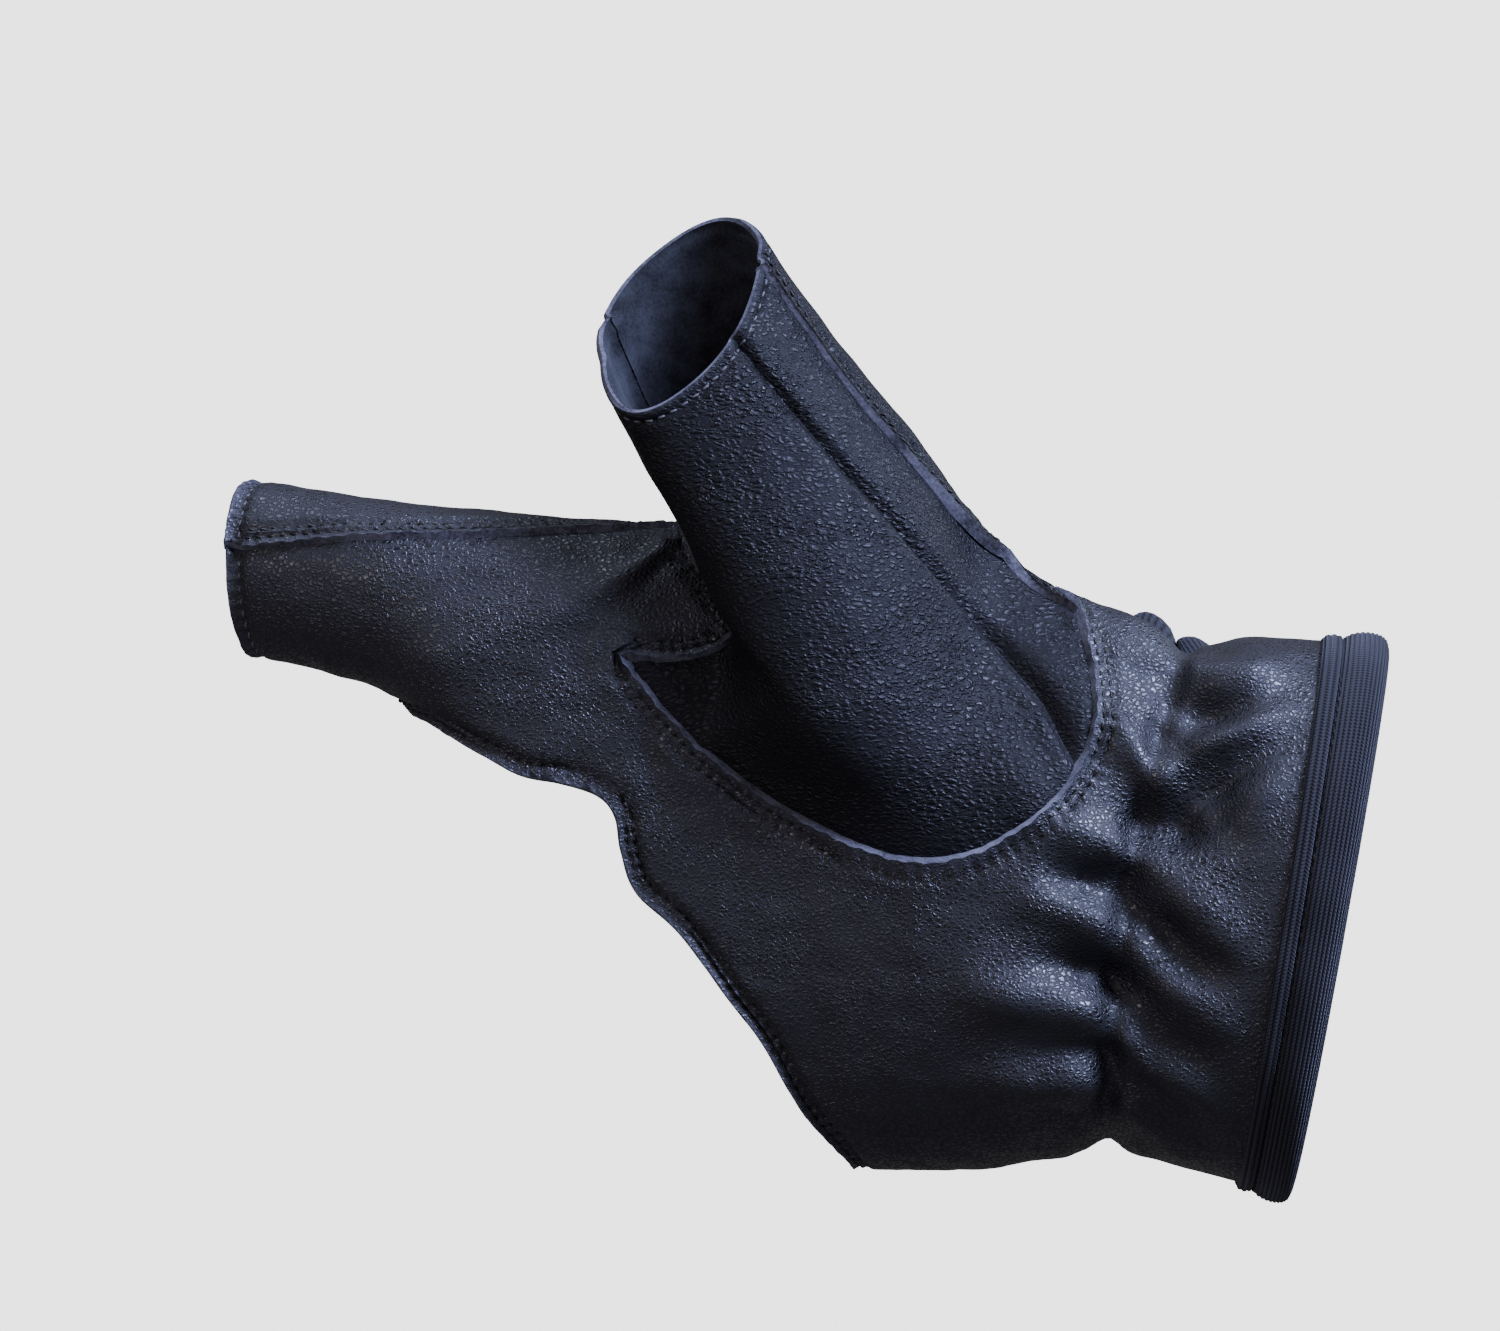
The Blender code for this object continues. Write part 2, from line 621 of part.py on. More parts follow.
# Corners that the panels share
STEP = 0.004
cuff_s = CUFF_INSET / (flat((1, 90))[0] - flat((0, 90))[0])
last_s = float(len(STATIONS) - 1)
index_corner = (last_s, find(*INDEX_SEAM[0])[1])
web_corner = (find(-1.176, 0.300, -1)[0], float(UNDER_SEAM + 360))
hem_corner_s = find(-0.440, -0.440, 1)[0]
cross_marks = (len(loop_under) - 1, nearest(LEAF_UPPER[-1]))
cross_angles = [loop_angle(LOOP_TRAVEL[mark]) for mark in cross_marks]
cross_steps = 5
front_spans = (
    (crease_angle, 11), (lambda t: cross_angles[0], cross_steps), (lambda t: cross_angles[1], 5),
    (lambda t: THUMB_HIDDEN_SEAM, 0),
)
strip_spans = ((back_seam_angle, 6), (crease_angle, 0))
back_spans = ((lambda t: THUMB_HIDDEN_SEAM, 13), (lambda t: back_seam_angle(t) + 360, 0))
LOOP_ANGLES = sorted(
    {
        round(a % 360, 9)
        for spans in (front_spans, strip_spans, back_spans)
        for a in span_angles(spans, 5)
    }
)
cross_points = [
    loop_at(a) for a in LOOP_ANGLES if cross_angles[0] - 1e-6 < a < cross_angles[1] + 1e-6
]


def loop_part(start, end):
    """The loop from one of the thumb's columns to another, as (s, phi) points."""
    start, end = (round(a % 360, 9) for a in (start, end))
    near = [min(LOOP_ANGLES, key=lambda a: abs(a - mark)) for mark in (start, end)]
    i, j = (LOOP_ANGLES.index(a) for a in near)
    order = LOOP_ANGLES[i:] + LOOP_ANGLES[:i]
    return [loop_at(a) for a in order[:(j - i) % len(order) + 1]]


def wrist_side_angle():
    """Where on the loop its back part is at the wrist seam's angle."""
    low, high = 280.0, 359.0
    for _ in range(24):
        mid = (low + high) / 2
        low, high = (mid, high) if loop_at(mid)[1] > WRIST_SEAM else (low, mid)
    return (low + high) / 2


def web_side_angle():
    low, high = 181.0, 250.0
    for _ in range(24):
        mid = (low + high) / 2
        low, high = (low, mid) if loop_at(mid)[1] > 88 else (mid, high)
    return (low + high) / 2


wrist_theta = min(LOOP_ANGLES, key=lambda a: abs(a - wrist_side_angle()))
web_theta = min(LOOP_ANGLES, key=lambda a: abs(a - web_side_angle()))
wrist_point, web_point = loop_at(wrist_theta), loop_at(web_theta)
gusset_high = find(GUSSET[0], 0.40, -1)[0]
gusset_low = find(GUSSET[1], 0.39, -1)[0]
index_seam = curve([index_corner] + on_hand(INDEX_SEAM[1:]) + [web_point], STEP)
leaf_lower = curve([cross_points[0]] + on_hand(LEAF_LOWER), STEP)
leaf_upper = curve([leaf_lower[-1]] + on_hand(LEAF_UPPER[:-1]) + [cross_points[-1]], STEP)
palm_hem = curve(
    [(web_corner[0], web_corner[1] - 360)] + on_hand(PALM_HEM[1:])
    + [(hem_corner_s, float(PINKY_SEAM))],
    STEP,
)
back_hem = curve([web_corner] + on_hand(BACK_HEM) + [(hem_corner_s, PINKY_SEAM + 360.0)], STEP)
under_palm = arm_line(UNDER_SEAM, last_s, web_corner[0], STEP)
under_back = arm_line(UNDER_SEAM + 360, web_corner[0], last_s, STEP)

palm_outline = joined(
    ring_line(cuff_s, PINKY_SEAM, WRIST_SEAM, STEP),
    arm_line(WRIST_SEAM, cuff_s, gusset_low, STEP * 0.9),
    arm_line(WRIST_SEAM, gusset_low, gusset_high, STEP * 0.8),
    straight((gusset_high, float(WRIST_SEAM)), wrist_point, STEP * 0.9),
    loop_part(wrist_theta, cross_angles[0]),
    leaf_lower,
    leaf_upper,
    loop_part(cross_angles[1], web_theta),
    list(reversed(index_seam)),
    ring_line(last_s, index_corner[1], UNDER_SEAM, STEP),
    under_palm,
    palm_hem,
    arm_line(PINKY_SEAM, hem_corner_s, cuff_s, STEP * 0.9),
)
gusset_upper = arm_line(WRIST_SEAM, gusset_low, gusset_high, STEP * 0.8)
gusset_side = GUSSET[2] * 0.75 + WRIST_SEAM * 0.25
gusset_lower = curve(
    [
        (gusset_low, float(WRIST_SEAM)),
        (gusset_low * 0.82 + gusset_high * 0.18, gusset_side),
        ((gusset_low + gusset_high) / 2, float(GUSSET[2])),
        (gusset_low * 0.18 + gusset_high * 0.82, gusset_side),
        (gusset_high, float(WRIST_SEAM)),
    ],
    STEP * 0.8,
)
back_outline = joined(
    list(reversed(ring_line(cuff_s, WRIST_SEAM, PINKY_SEAM + 360, STEP))),
    arm_line(WRIST_SEAM, cuff_s, gusset_low, STEP * 0.9),
    gusset_lower,
    straight((gusset_high, float(WRIST_SEAM)), wrist_point, STEP * 0.9),
    list(reversed(loop_part(web_theta, wrist_theta))),
    list(reversed(index_seam)),
    ring_line(last_s, index_corner[1], UNDER_SEAM + 360, STEP),
    list(reversed(under_back)),
    back_hem,
    arm_line(PINKY_SEAM + 360, hem_corner_s, cuff_s, STEP * 0.9),
)


def hand_patch(outline, lift):
    """The piece of the hand's surface inside an outline: points, triangles, and the normals at its points."""
    flat_points, faces = filled(outline)
    points = [lift(*p) for p in flat_points]
    normals = {tuple(p): skin_normal(*spot) for p, spot in zip(points, flat_points)}
    return points, facing_out(points, faces, hand_middle), normals


def hand_panel(name, outline, colour, lift=skin, thickness=LEATHER):
    points, faces, normals = hand_patch(outline, lift)
    solid(name, points, faces, thickness, colour, 0.5, normals)


def gusset_skin(s, phi):
    """The knit between palm and back: it puffs out more than the leather."""
    p = bare(s, phi)
    rise = fold_rise(p.x / REACH, p.z / REACH, math.cos(math.radians(phi))) * 0.5
    for x, angle, puff, breadth in PUFFS:
        away = math.hypot(p.x / REACH - x, math.radians(phi - angle) * radius(s) / REACH)
        off_seam = min(max((phi - WRIST_SEAM) / 9, 0), 1)
        rise += puff * math.exp(-((away / breadth) ** 2)) * off_seam
    return p + bare_normal(s, phi) * (rise * REACH)


LEATHER_BLACK = (0.018, 0.018, 0.023)
THUMB_BLACK = (0.021, 0.021, 0.026)
KNIT_NAVY = (0.010, 0.012, 0.024)

hand_panel("palm_panel", palm_outline, LEATHER_BLACK)
hand_panel("back_panel", back_outline, LEATHER_BLACK)
hand_panel("wrist_gusset", joined(gusset_upper, list(reversed(gusset_lower))), KNIT_NAVY, gusset_skin, KNIT)

# Thumb: front with its pointed leaf on the palm, strip along the side, and back
leaf_outline = joined(leaf_lower, leaf_upper, list(reversed(cross_points)))
leaf_points, leaf_faces, leaf_normals = hand_patch(leaf_outline, skin)
points, faces, normals = thumb_grid(front_spans)
for spot in cross_points:
    there = skin(*spot)
    for pool in (points, leaf_points):
        pick = min(range(len(pool)), key=lambda i: (pool[i] - there).length)
        pool[pick] = there.copy()
    normals[tuple(there)] = skin_normal(*spot)
normals.update(leaf_normals)
faces = facing_out(points, faces, thumb_middle)
points, faces = welded([(points, faces), (leaf_points, leaf_faces)])
solid("thumb_front_panel", points, faces, LEATHER, THUMB_BLACK, 0.5, normals)

points, faces, normals = thumb_grid(strip_spans)
faces = facing_out(points, faces, thumb_middle)
solid("thumb_side_strip", points, faces, LEATHER, THUMB_BLACK, 0.5, normals)

points, faces, normals = thumb_grid(back_spans)
faces = facing_out(points, faces, thumb_middle)
solid("thumb_back_panel", points, faces, LEATHER, THUMB_BLACK, 0.5, normals)

# Cuff binding: a folded tape round the leather's edge, as (in from the fold, out from the leather)
under = -LEATHER
BINDING = (
    (BINDING_WIDTH, SEAM_GAP), (BINDING_WIDTH, SEAM_GAP + BINDING_TAPE),
    (BINDING_WIDTH * 0.72, SEAM_GAP + BINDING_TAPE * 1.15),
    (BINDING_WIDTH * 0.2, SEAM_GAP + BINDING_TAPE), (0.0003, 0.0006), (0.0, -0.0006), (0.0003, -0.0018),
    (BINDING_WIDTH * 0.2, under - SEAM_GAP - BINDING_TAPE), (BINDING_WIDTH, under - SEAM_GAP - BINDING_TAPE),
    (BINDING_WIDTH, under - SEAM_GAP), (BINDING_WIDTH * 0.55, under - SEAM_GAP),
    (CUFF_INSET - 0.0005, under - SEAM_GAP), (CUFF_INSET - 0.0005, SEAM_GAP), (BINDING_WIDTH * 0.55, SEAM_GAP),
)
ROUND = 60
cuff_length = flat((1, 90))[0] - flat((0, 90))[0]
points, faces = [], []
for k in range(ROUND):
    phi = 360 * k / ROUND
    for inset, out in BINDING:
        s = inset / cuff_length
        points.append(skin(s, phi) + bare_normal(s, phi) * out)
n = len(BINDING)
for k in range(ROUND):
    for j in range(n):
        a, b = k * n + j, k * n + (j + 1) % n
        c, d = (a + n) % (ROUND * n), (b + n) % (ROUND * n)
        faces.append((a, b, d, c))
make("cuff_binding", points, faces, KNIT_NAVY, 0.9)
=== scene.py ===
import math

import bpy
import numpy as np
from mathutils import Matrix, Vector
from mathutils.geometry import delaunay_2d_cdt


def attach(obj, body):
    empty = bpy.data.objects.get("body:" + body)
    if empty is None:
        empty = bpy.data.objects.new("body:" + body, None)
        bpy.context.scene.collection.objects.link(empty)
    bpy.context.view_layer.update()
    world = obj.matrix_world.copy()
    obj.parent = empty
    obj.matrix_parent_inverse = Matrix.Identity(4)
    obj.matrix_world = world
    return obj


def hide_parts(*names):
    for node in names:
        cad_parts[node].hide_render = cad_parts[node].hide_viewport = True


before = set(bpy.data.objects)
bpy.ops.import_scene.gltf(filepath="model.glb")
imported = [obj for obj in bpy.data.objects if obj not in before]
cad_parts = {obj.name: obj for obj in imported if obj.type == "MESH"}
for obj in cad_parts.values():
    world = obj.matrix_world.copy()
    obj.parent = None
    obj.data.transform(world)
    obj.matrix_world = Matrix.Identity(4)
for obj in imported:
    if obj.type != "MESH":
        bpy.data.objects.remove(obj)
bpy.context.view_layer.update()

glove = {
    "reach": 0.100,         # gathered wrist to the root of the index tube: the tables hold shares of it
    "leather": 0.0012,
    "foldStrength": 1.45,
    "gatherDepth": 0.018,   # the drawn-in line round the wrist, in shares of reach
    "gatherBreadth": 0.022,
}
reach = glove["reach"]

# top x, top z, bottom x, bottom z, middle y, palm depth, back depth, square, turn
stations = np.array([
    (0.412, 0.378, 0.256, -0.490, 0.000, 0.325, 0.335, 2.30, 0),
    (0.330, 0.389, 0.188, -0.479, 0.000, 0.318, 0.328, 2.30, 0),
    (0.195, 0.397, 0.080, -0.449, 0.000, 0.285, 0.300, 2.30, 0),
    (0.090, 0.386, -0.045, -0.421, 0.000, 0.245, 0.262, 2.35, 0),
    (-0.072, 0.434, -0.115, -0.437, 0.000, 0.262, 0.262, 2.35, 0),
    (-0.160, 0.466, -0.190, -0.449, 0.000, 0.278, 0.255, 2.40, 0),
    (-0.300, 0.500, -0.300, -0.456, 0.000, 0.272, 0.240, 2.40, 0),
    (-0.450, 0.530, -0.450, -0.452, 0.005, 0.240, 0.220, 2.40, 0),
    (-0.600, 0.552, -0.600, -0.425, 0.010, 0.205, 0.200, 2.40, 0),
    (-0.800, 0.578, -0.800, -0.290, 0.010, 0.175, 0.180, 2.30, 0),
    (-0.980, 0.598, -0.990, 0.000, 0.010, 0.150, 0.155, 2.20, 4),
    (-1.140, 0.611, -1.150, 0.276, 0.022, 0.128, 0.128, 2.20, 12),
    (-1.290, 0.632, -1.285, 0.340, 0.062, 0.118, 0.118, 2.20, 19),
    (-1.413, 0.651, -1.405, 0.366, 0.105, 0.112, 0.112, 2.20, 21),
])
lastRow = float(len(stations) - 1)

# Ridges and hollows of the gathered wrist: from x, z to x, z, rise, breadth, 1 palm or -1 back
folds = (
    (-0.075, 0.430, 0.092, 0.350, 0.026, 0.050, 1),
    (0.045, 0.267, 0.090, 0.246, 0.014, 0.030, 1),
    (-0.016, 0.240, 0.054, 0.152, 0.020, 0.032, 1),
    (-0.075, 0.078, 0.030, 0.037, 0.026, 0.042, 1),
    (-0.112, -0.032, -0.003, -0.086, 0.024, 0.036, 1),
    (-0.176, -0.180, -0.016, -0.204, 0.026, 0.045, 1),
    (-0.160, -0.310, -0.030, -0.298, 0.026, 0.042, 1),
    (-0.112, -0.384, -0.030, -0.354, 0.014, 0.030, 1),
    (0.112, 0.312, 0.256, 0.338, 0.023, 0.036, 1),
    (0.062, 0.180, 0.288, 0.290, 0.024, 0.031, 1),
    (0.206, 0.138, 0.304, 0.222, 0.015, 0.042, 1),
    (0.050, 0.000, 0.138, -0.072, 0.018, 0.048, 1),
    (0.018, -0.128, 0.128, -0.200, 0.016, 0.040, 1),
    (-0.006, -0.256, 0.150, -0.366, 0.018, 0.034, 1),
    (0.010, -0.348, 0.060, -0.392, 0.012, 0.030, 1),
    (0.032, 0.082, 0.118, 0.112, -0.024, 0.044, 1),
    (-0.102, 0.006, -0.018, 0.012, -0.015, 0.030, 1),
    (-0.112, -0.124, -0.038, -0.140, -0.015, 0.030, 1),
    (0.056, 0.300, 0.084, 0.286, -0.014, 0.030, 1),
    (0.014, -0.048, 0.090, -0.109, -0.015, 0.030, 1),
    (-0.010, -0.173, 0.070, -0.234, -0.015, 0.030, 1),
    (-0.034, -0.266, 0.072, -0.344, -0.015, 0.030, 1),
    (-0.030, -0.330, -0.130, -0.404, -0.014, 0.030, 1),
    (0.078, 0.136, 0.250, 0.236, -0.010, 0.030, 1),
    (0.084, 0.384, 0.112, 0.372, -0.016, 0.030, 1),
    (-0.120, 0.250, 0.020, 0.225, 0.022, 0.042, -1),
    (-0.130, 0.110, 0.015, 0.100, 0.024, 0.044, -1),
    (-0.120, -0.030, 0.005, -0.040, 0.024, 0.042, -1),
    (-0.140, -0.170, 0.000, -0.185, 0.024, 0.044, -1),
    (-0.130, -0.320, -0.010, -0.310, 0.022, 0.042, -1),
    (0.080, 0.160, 0.230, 0.200, 0.020, 0.040, -1),
    (0.060, 0.030, 0.220, 0.040, 0.020, 0.042, -1),
    (0.040, -0.110, 0.200, -0.140, 0.020, 0.042, -1),
    (0.020, -0.245, 0.170, -0.310, 0.020, 0.040, -1),
)

# Finer creases that only the finished leather has, in the same columns
wrinkles = (
    (-0.140, 0.455, -0.060, 0.440, 0.012, 0.040, 1),
    (-0.716, 0.540, -0.770, 0.490, -0.006, 0.010, 1),
    (-0.775, 0.487, -0.800, 0.468, -0.003, 0.014, 1),
    (-0.712, 0.556, -0.800, 0.492, 0.009, 0.015, 1),
    (-0.800, 0.492, -0.900, 0.440, 0.007, 0.022, 1),
    (-0.776, 0.232, -0.760, 0.160, -0.008, 0.020, 1),
    (-1.056, 0.392, -0.704, 0.536, 0.012, 0.060, 1),
    (0.080, 0.246, 0.226, 0.300, -0.014, 0.022, 1),
    (0.117, 0.120, 0.282, 0.172, 0.010, 0.024, 1),
    (0.006, 0.196, 0.046, 0.120, 0.007, 0.012, 1),
    (0.086, 0.170, 0.176, 0.214, -0.006, 0.010, 1),
    (0.120, 0.122, 0.206, 0.190, 0.006, 0.014, 1),
    (0.104, 0.060, 0.190, 0.120, 0.005, 0.016, 1),
    (-0.050, 0.040, 0.034, 0.010, -0.006, 0.010, 1),
    (-0.070, -0.060, 0.010, -0.104, -0.006, 0.010, 1),
    (-0.080, -0.160, 0.000, -0.176, -0.005, 0.010, 1),
    (-0.080, -0.232, 0.010, -0.240, 0.007, 0.014, 1),
    (0.030, -0.090, 0.110, -0.150, -0.006, 0.010, 1),
    (0.040, -0.200, 0.120, -0.262, 0.006, 0.014, 1),
    (0.000, -0.212, 0.060, -0.290, -0.006, 0.010, 1),
    (0.060, -0.020, 0.120, -0.030, 0.005, 0.012, 1),
    (-0.030, 0.330, 0.050, 0.310, 0.005, 0.016, 1),
    (-0.020, 0.286, 0.046, 0.246, -0.005, 0.011, 1),
    (-0.250, 0.330, -0.120, 0.200, 0.008, 0.030, -1),
    (-0.190, 0.200, -0.060, 0.160, 0.010, 0.022, -1),
    (-0.220, 0.040, -0.080, 0.045, 0.009, 0.020, -1),
    (-0.200, -0.090, -0.050, -0.105, 0.010, 0.018, -1),
    (-0.250, -0.240, -0.060, -0.225, 0.009, 0.020, -1),
    (-0.060, 0.060, 0.050, 0.072, -0.010, 0.012, -1),
    (-0.060, -0.080, 0.060, -0.075, -0.010, 0.012, -1),
    (-0.080, -0.240, 0.040, -0.246, -0.010, 0.012, -1),
    (0.070, 0.095, 0.200, 0.120, 0.008, 0.016, -1),
    (0.050, -0.040, 0.220, -0.050, 0.008, 0.016, -1),
    (0.040, -0.175, 0.160, -0.215, 0.008, 0.016, -1),
    (-0.700, 0.460, -0.560, 0.300, 0.006, 0.040, -1),
    (-0.800, 0.420, -0.640, 0.240, -0.005, 0.030, -1),
    (-0.620, 0.180, -0.420, 0.060, 0.006, 0.040, -1),
)

# Seams and edges: x, z, 1 palm or -1 back
palmHem = (
    (-1.185, 0.300, -1), (-1.160, 0.286, 1), (-1.120, 0.256, 1), (-1.040, 0.208, 1), (-0.976, 0.176, 1),
    (-0.914, 0.164, 1), (-0.852, 0.144, 1), (-0.824, 0.110, 1), (-0.815, 0.056, 1), (-0.790, -0.012, 1),
    (-0.718, -0.080, 1), (-0.637, -0.190, 1), (-0.589, -0.254, 1), (-0.536, -0.348, 1), (-0.460, -0.437, 1),
)
backHem = (
    (-1.100, 0.270, -1), (-1.020, 0.235, -1), (-0.930, 0.215, -1), (-0.850, 0.190, -1),
    (-0.780, 0.120, -1), (-0.735, 0.020, -1), (-0.660, -0.060, -1), (-0.580, -0.170, -1),
    (-0.520, -0.270, -1), (-0.455, -0.390, -1),
)
indexSeam = (
    (-1.457, 0.543, 1), (-1.410, 0.538, 1), (-1.330, 0.545, 1), (-1.168, 0.555, 1), (-1.010, 0.559, 1),
    (-0.850, 0.565, 1), (-0.770, 0.568, 1),
)
loopUnder = (
    (-0.072, 0.360, 1), (-0.064, 0.296, 1), (-0.072, 0.232, 1), (-0.104, 0.168, 1), (-0.160, 0.112, 1),
    (-0.240, 0.064, 1), (-0.320, 0.045, 1), (-0.400, 0.056, 1), (-0.496, 0.096, 1), (-0.592, 0.152, 1),
    (-0.688, 0.224, 1),
)
leafLower = ((-0.752, 0.293, 1), (-0.808, 0.363, 1))
leafUpper = ((-0.752, 0.360, 1), (-0.704, 0.363, 1), (-0.656, 0.376, 1))
loopCross = ((-0.664, 0.335, 1), (-0.680, 0.272, 1))
loopWeb = (
    (-0.627, 0.400, 1), (-0.619, 0.422, 1), (-0.640, 0.448, 1), (-0.672, 0.499, 1), (-0.700, 0.540, 1),
    (-0.706, 0.545, -1), (-0.650, 0.490, -1), (-0.540, 0.430, -1), (-0.420, 0.405, -1), (-0.300, 0.400, -1),
    (-0.200, 0.420, -1), (-0.152, 0.450, -1), (-0.124, 0.447, 1), (-0.096, 0.416, 1),
)
# Rings of the thumb from its opening down: left, front, right, back, each x, z, y
thumbRings = np.array((
    ((-0.850, 0.838, -0.150), (-0.712, 0.792, -0.262), (-0.590, 1.036, -0.120), (-0.752, 1.020, -0.010)),
    ((-0.786, 0.716, -0.138), (-0.645, 0.690, -0.270), (-0.513, 0.930, -0.110), (-0.690, 0.880, 0.012)),
    ((-0.738, 0.640, -0.128), (-0.570, 0.560, -0.288), (-0.432, 0.824, -0.096), (-0.610, 0.760, 0.040)),
    ((-0.704, 0.570, -0.136), (-0.484, 0.400, -0.306), (-0.342, 0.718, -0.084), (-0.530, 0.650, 0.074)),
    ((-0.656, 0.502, -0.148), (-0.400, 0.226, -0.302), (-0.236, 0.566, -0.070), (-0.440, 0.540, 0.112)),
))[..., [0, 2, 1]] * reach
creaseLine = np.array((
    (-0.640, 0.883), (-0.624, 0.864), (-0.592, 0.821), (-0.528, 0.747), (-0.448, 0.656), (-0.368, 0.568),
    (-0.288, 0.472), (-0.208, 0.376), (-0.144, 0.296), (-0.104, 0.219),
)) * reach
thumbBackSeam = np.array([[15.0], [16.0], [15.0], [11.0], [3.0], [-12.0]])  # turn of the seam at each ring
thumbSquare = 2.25
# How far round the other seams are, in degrees
turns = {"under": -110.0, "heel": -98.0, "wrist": 99.0, "thumbHidden": 214.0}


def catmull(a, b, c, d, f):
    return (
        b * (1 - f * f * (3 - 2 * f)) + c * (f * f * (3 - 2 * f))
        + (c - a) * (0.5 * (f ** 3 - 2 * f * f + f)) + (d - b) * (0.5 * (f ** 3 - f * f))
    )


def alongRows(rows, s):
    s = np.asarray(s, float)
    last = len(rows) - 1
    i = np.clip(np.floor(s).astype(int), 0, last - 1)
    near = [rows[np.clip(i + k, 0, last)] for k in (-1, 0, 1, 2)]
    f = np.clip(s - i, 0, 1)[..., None]
    start = (rows[1] - rows[0]) * np.minimum(s, 0)[..., None]
    return catmull(*near, f) + start


def unit(v):
    return v / np.maximum(np.linalg.norm(v, axis=-1, keepdims=True), 1e-12)


def smoothStep(f):
    f = np.clip(f, 0, 1)
    return f * f * (3 - 2 * f)


def power(value, exponent):
    return np.sign(value) * np.abs(value) ** exponent


def station(s):
    r = alongRows(stations, s)
    top = r[..., [0, 4, 1]] * reach
    bottom = r[..., [2, 4, 3]] * reach
    turn = np.radians(r[..., 8])
    palm = np.stack([-np.sin(turn), -np.cos(turn), 0 * turn], -1) * reach
    return top, bottom, palm, r


def plainForm(s, phi):  # phi is 0 at the palm, 90 at the thumb side, 180 at the back
    s, phi = np.broadcast_arrays(np.asarray(s, float), np.asarray(phi, float))
    top, bottom, palm, r = station(s)
    a = np.radians(phi)
    e = 2 / r[..., 7]
    depth = power(np.cos(a), e) * np.where(np.cos(a) > 0, r[..., 5], r[..., 6])
    up = power(np.sin(a), e)
    return (top + bottom) / 2 + (top - bottom) / 2 * up[..., None] + palm * depth[..., None]


def plainNormal(s, phi):
    du = plainForm(s + 0.01, phi) - plainForm(s - 0.01, phi)
    dv = plainForm(s, phi + 0.5) - plainForm(s, phi - 0.5)
    return unit(np.cross(dv, du))


def ridges(rows, x, z, facing):
    total = np.zeros_like(x)
    for fromX, fromZ, toX, toZ, rise, breadth, side in rows:
        ex, ez = toX - fromX, toZ - fromZ
        length = math.hypot(ex, ez)
        t = ((x - fromX) * ex + (z - fromZ) * ez) / length ** 2
        across = ((x - fromX) * ez - (z - fromZ) * ex) / length
        past = np.maximum(np.abs(t - 0.5) - 0.5, 0) * length * 0.5
        away = np.hypot(across, past)
        ending = 1 - 0.3 * smoothStep(np.abs(2 * t - 1))
        shown = np.clip(0.5 + 1.6 * facing * side, 0, 1)
        total += rise * shown * ending * np.exp(-((away / breadth) ** 2))
    return total


def foldRise(x, z, facing):
    gather = np.abs(x - (-0.012 + 0.16 * z + 0.25 * z * z))
    breadth = glove["gatherBreadth"] * (1 + 0.6 * np.clip(-2 * facing, 0, 1))
    total = -glove["gatherDepth"] * np.exp(-((gather / breadth) ** 2))
    return total + glove["foldStrength"] * ridges(folds, x, z, facing)


def waves(p, length, seed, count=14):  # gentle unevenness, about -1 to 1
    draw = np.random.default_rng(seed)
    total = np.zeros(p.shape[:-1])
    for _ in range(count):
        way = unit(draw.normal(size=3)) * (2 * math.pi / (length * draw.uniform(0.6, 1.6)))
        total += np.sin(p @ way + draw.uniform(0, 2 * math.pi))
    return total / math.sqrt(count / 2) / 2


def foldedForm(s, phi, wrinkled=True):
    p = plainForm(s, phi)
    facing = np.cos(np.radians(phi)) + 0 * p[..., 0]
    held = smoothStep((np.asarray(s) - 1.2) / 0.7)
    rise = foldRise(p[..., 0] / reach, p[..., 2] / reach, facing) * held
    if wrinkled:
        rise = rise + ridges(wrinkles, p[..., 0] / reach, p[..., 2] / reach, facing) * held
    return p + plainNormal(s, phi) * (rise * reach)[..., None]


def foldedNormal(s, phi):
    along = foldedForm(s + 0.02, phi) - foldedForm(s - 0.02, phi)
    return unit(np.cross(foldedForm(s, phi + 1) - foldedForm(s, phi - 1), along))


def find(rows):  # (s, phi) of points x, z, side
    x, z, side = np.array(rows, float).T
    x, z, shift = x * reach, z * reach, 0 * x
    for _ in range(8):
        low, high = np.full(len(x), -0.3), np.full(len(x), lastRow)
        for _ in range(26):
            s = (low + high) / 2
            top, bottom, palm, r = station(s)
            left = (top[:, 0] - bottom[:, 0]) * (z - bottom[:, 2])
            left -= (top[:, 2] - bottom[:, 2]) * (x - shift - bottom[:, 0])
            low, high = np.where(left > 0, s, low), np.where(left > 0, high, s)
        e = 2 / r[:, 7]
        share = np.clip((z - (top[:, 2] + bottom[:, 2]) / 2) / ((top[:, 2] - bottom[:, 2]) / 2), -1, 1)
        a = np.arcsin(power(share, 1 / e))
        shift = palm[:, 0] * np.cos(a) ** e * np.where(side > 0, r[:, 5], -r[:, 6])
    phi = np.degrees(a)
    return np.stack([s, np.where(side > 0, phi, 180 - phi)], -1)


# The glove laid flat: u along it, v round it
fineRows = np.linspace(0, lastRow, 521)
middles = (station(fineRows)[0] + station(fineRows)[1]) / 2
travel = np.concatenate([[0], np.cumsum(np.abs(np.diff(middles[:, 0])) + 1e-7)])


def radius(s):
    top, bottom, _, r = station(s)
    half = np.linalg.norm(top - bottom, axis=-1) / 2
    depth = (r[..., 5] + r[..., 6]) / 2 * reach
    return np.hypot(half, depth) / math.sqrt(2)


def flat(points):
    s, phi = points[..., 0], points[..., 1]
    return np.stack([np.interp(s, fineRows, travel), np.radians(phi - 90) * radius(s)], -1)


def unflat(laid):
    s = np.interp(laid[..., 0], travel, fineRows)
    return np.stack([s, 90 + np.degrees(laid[..., 1] / radius(s))], -1)


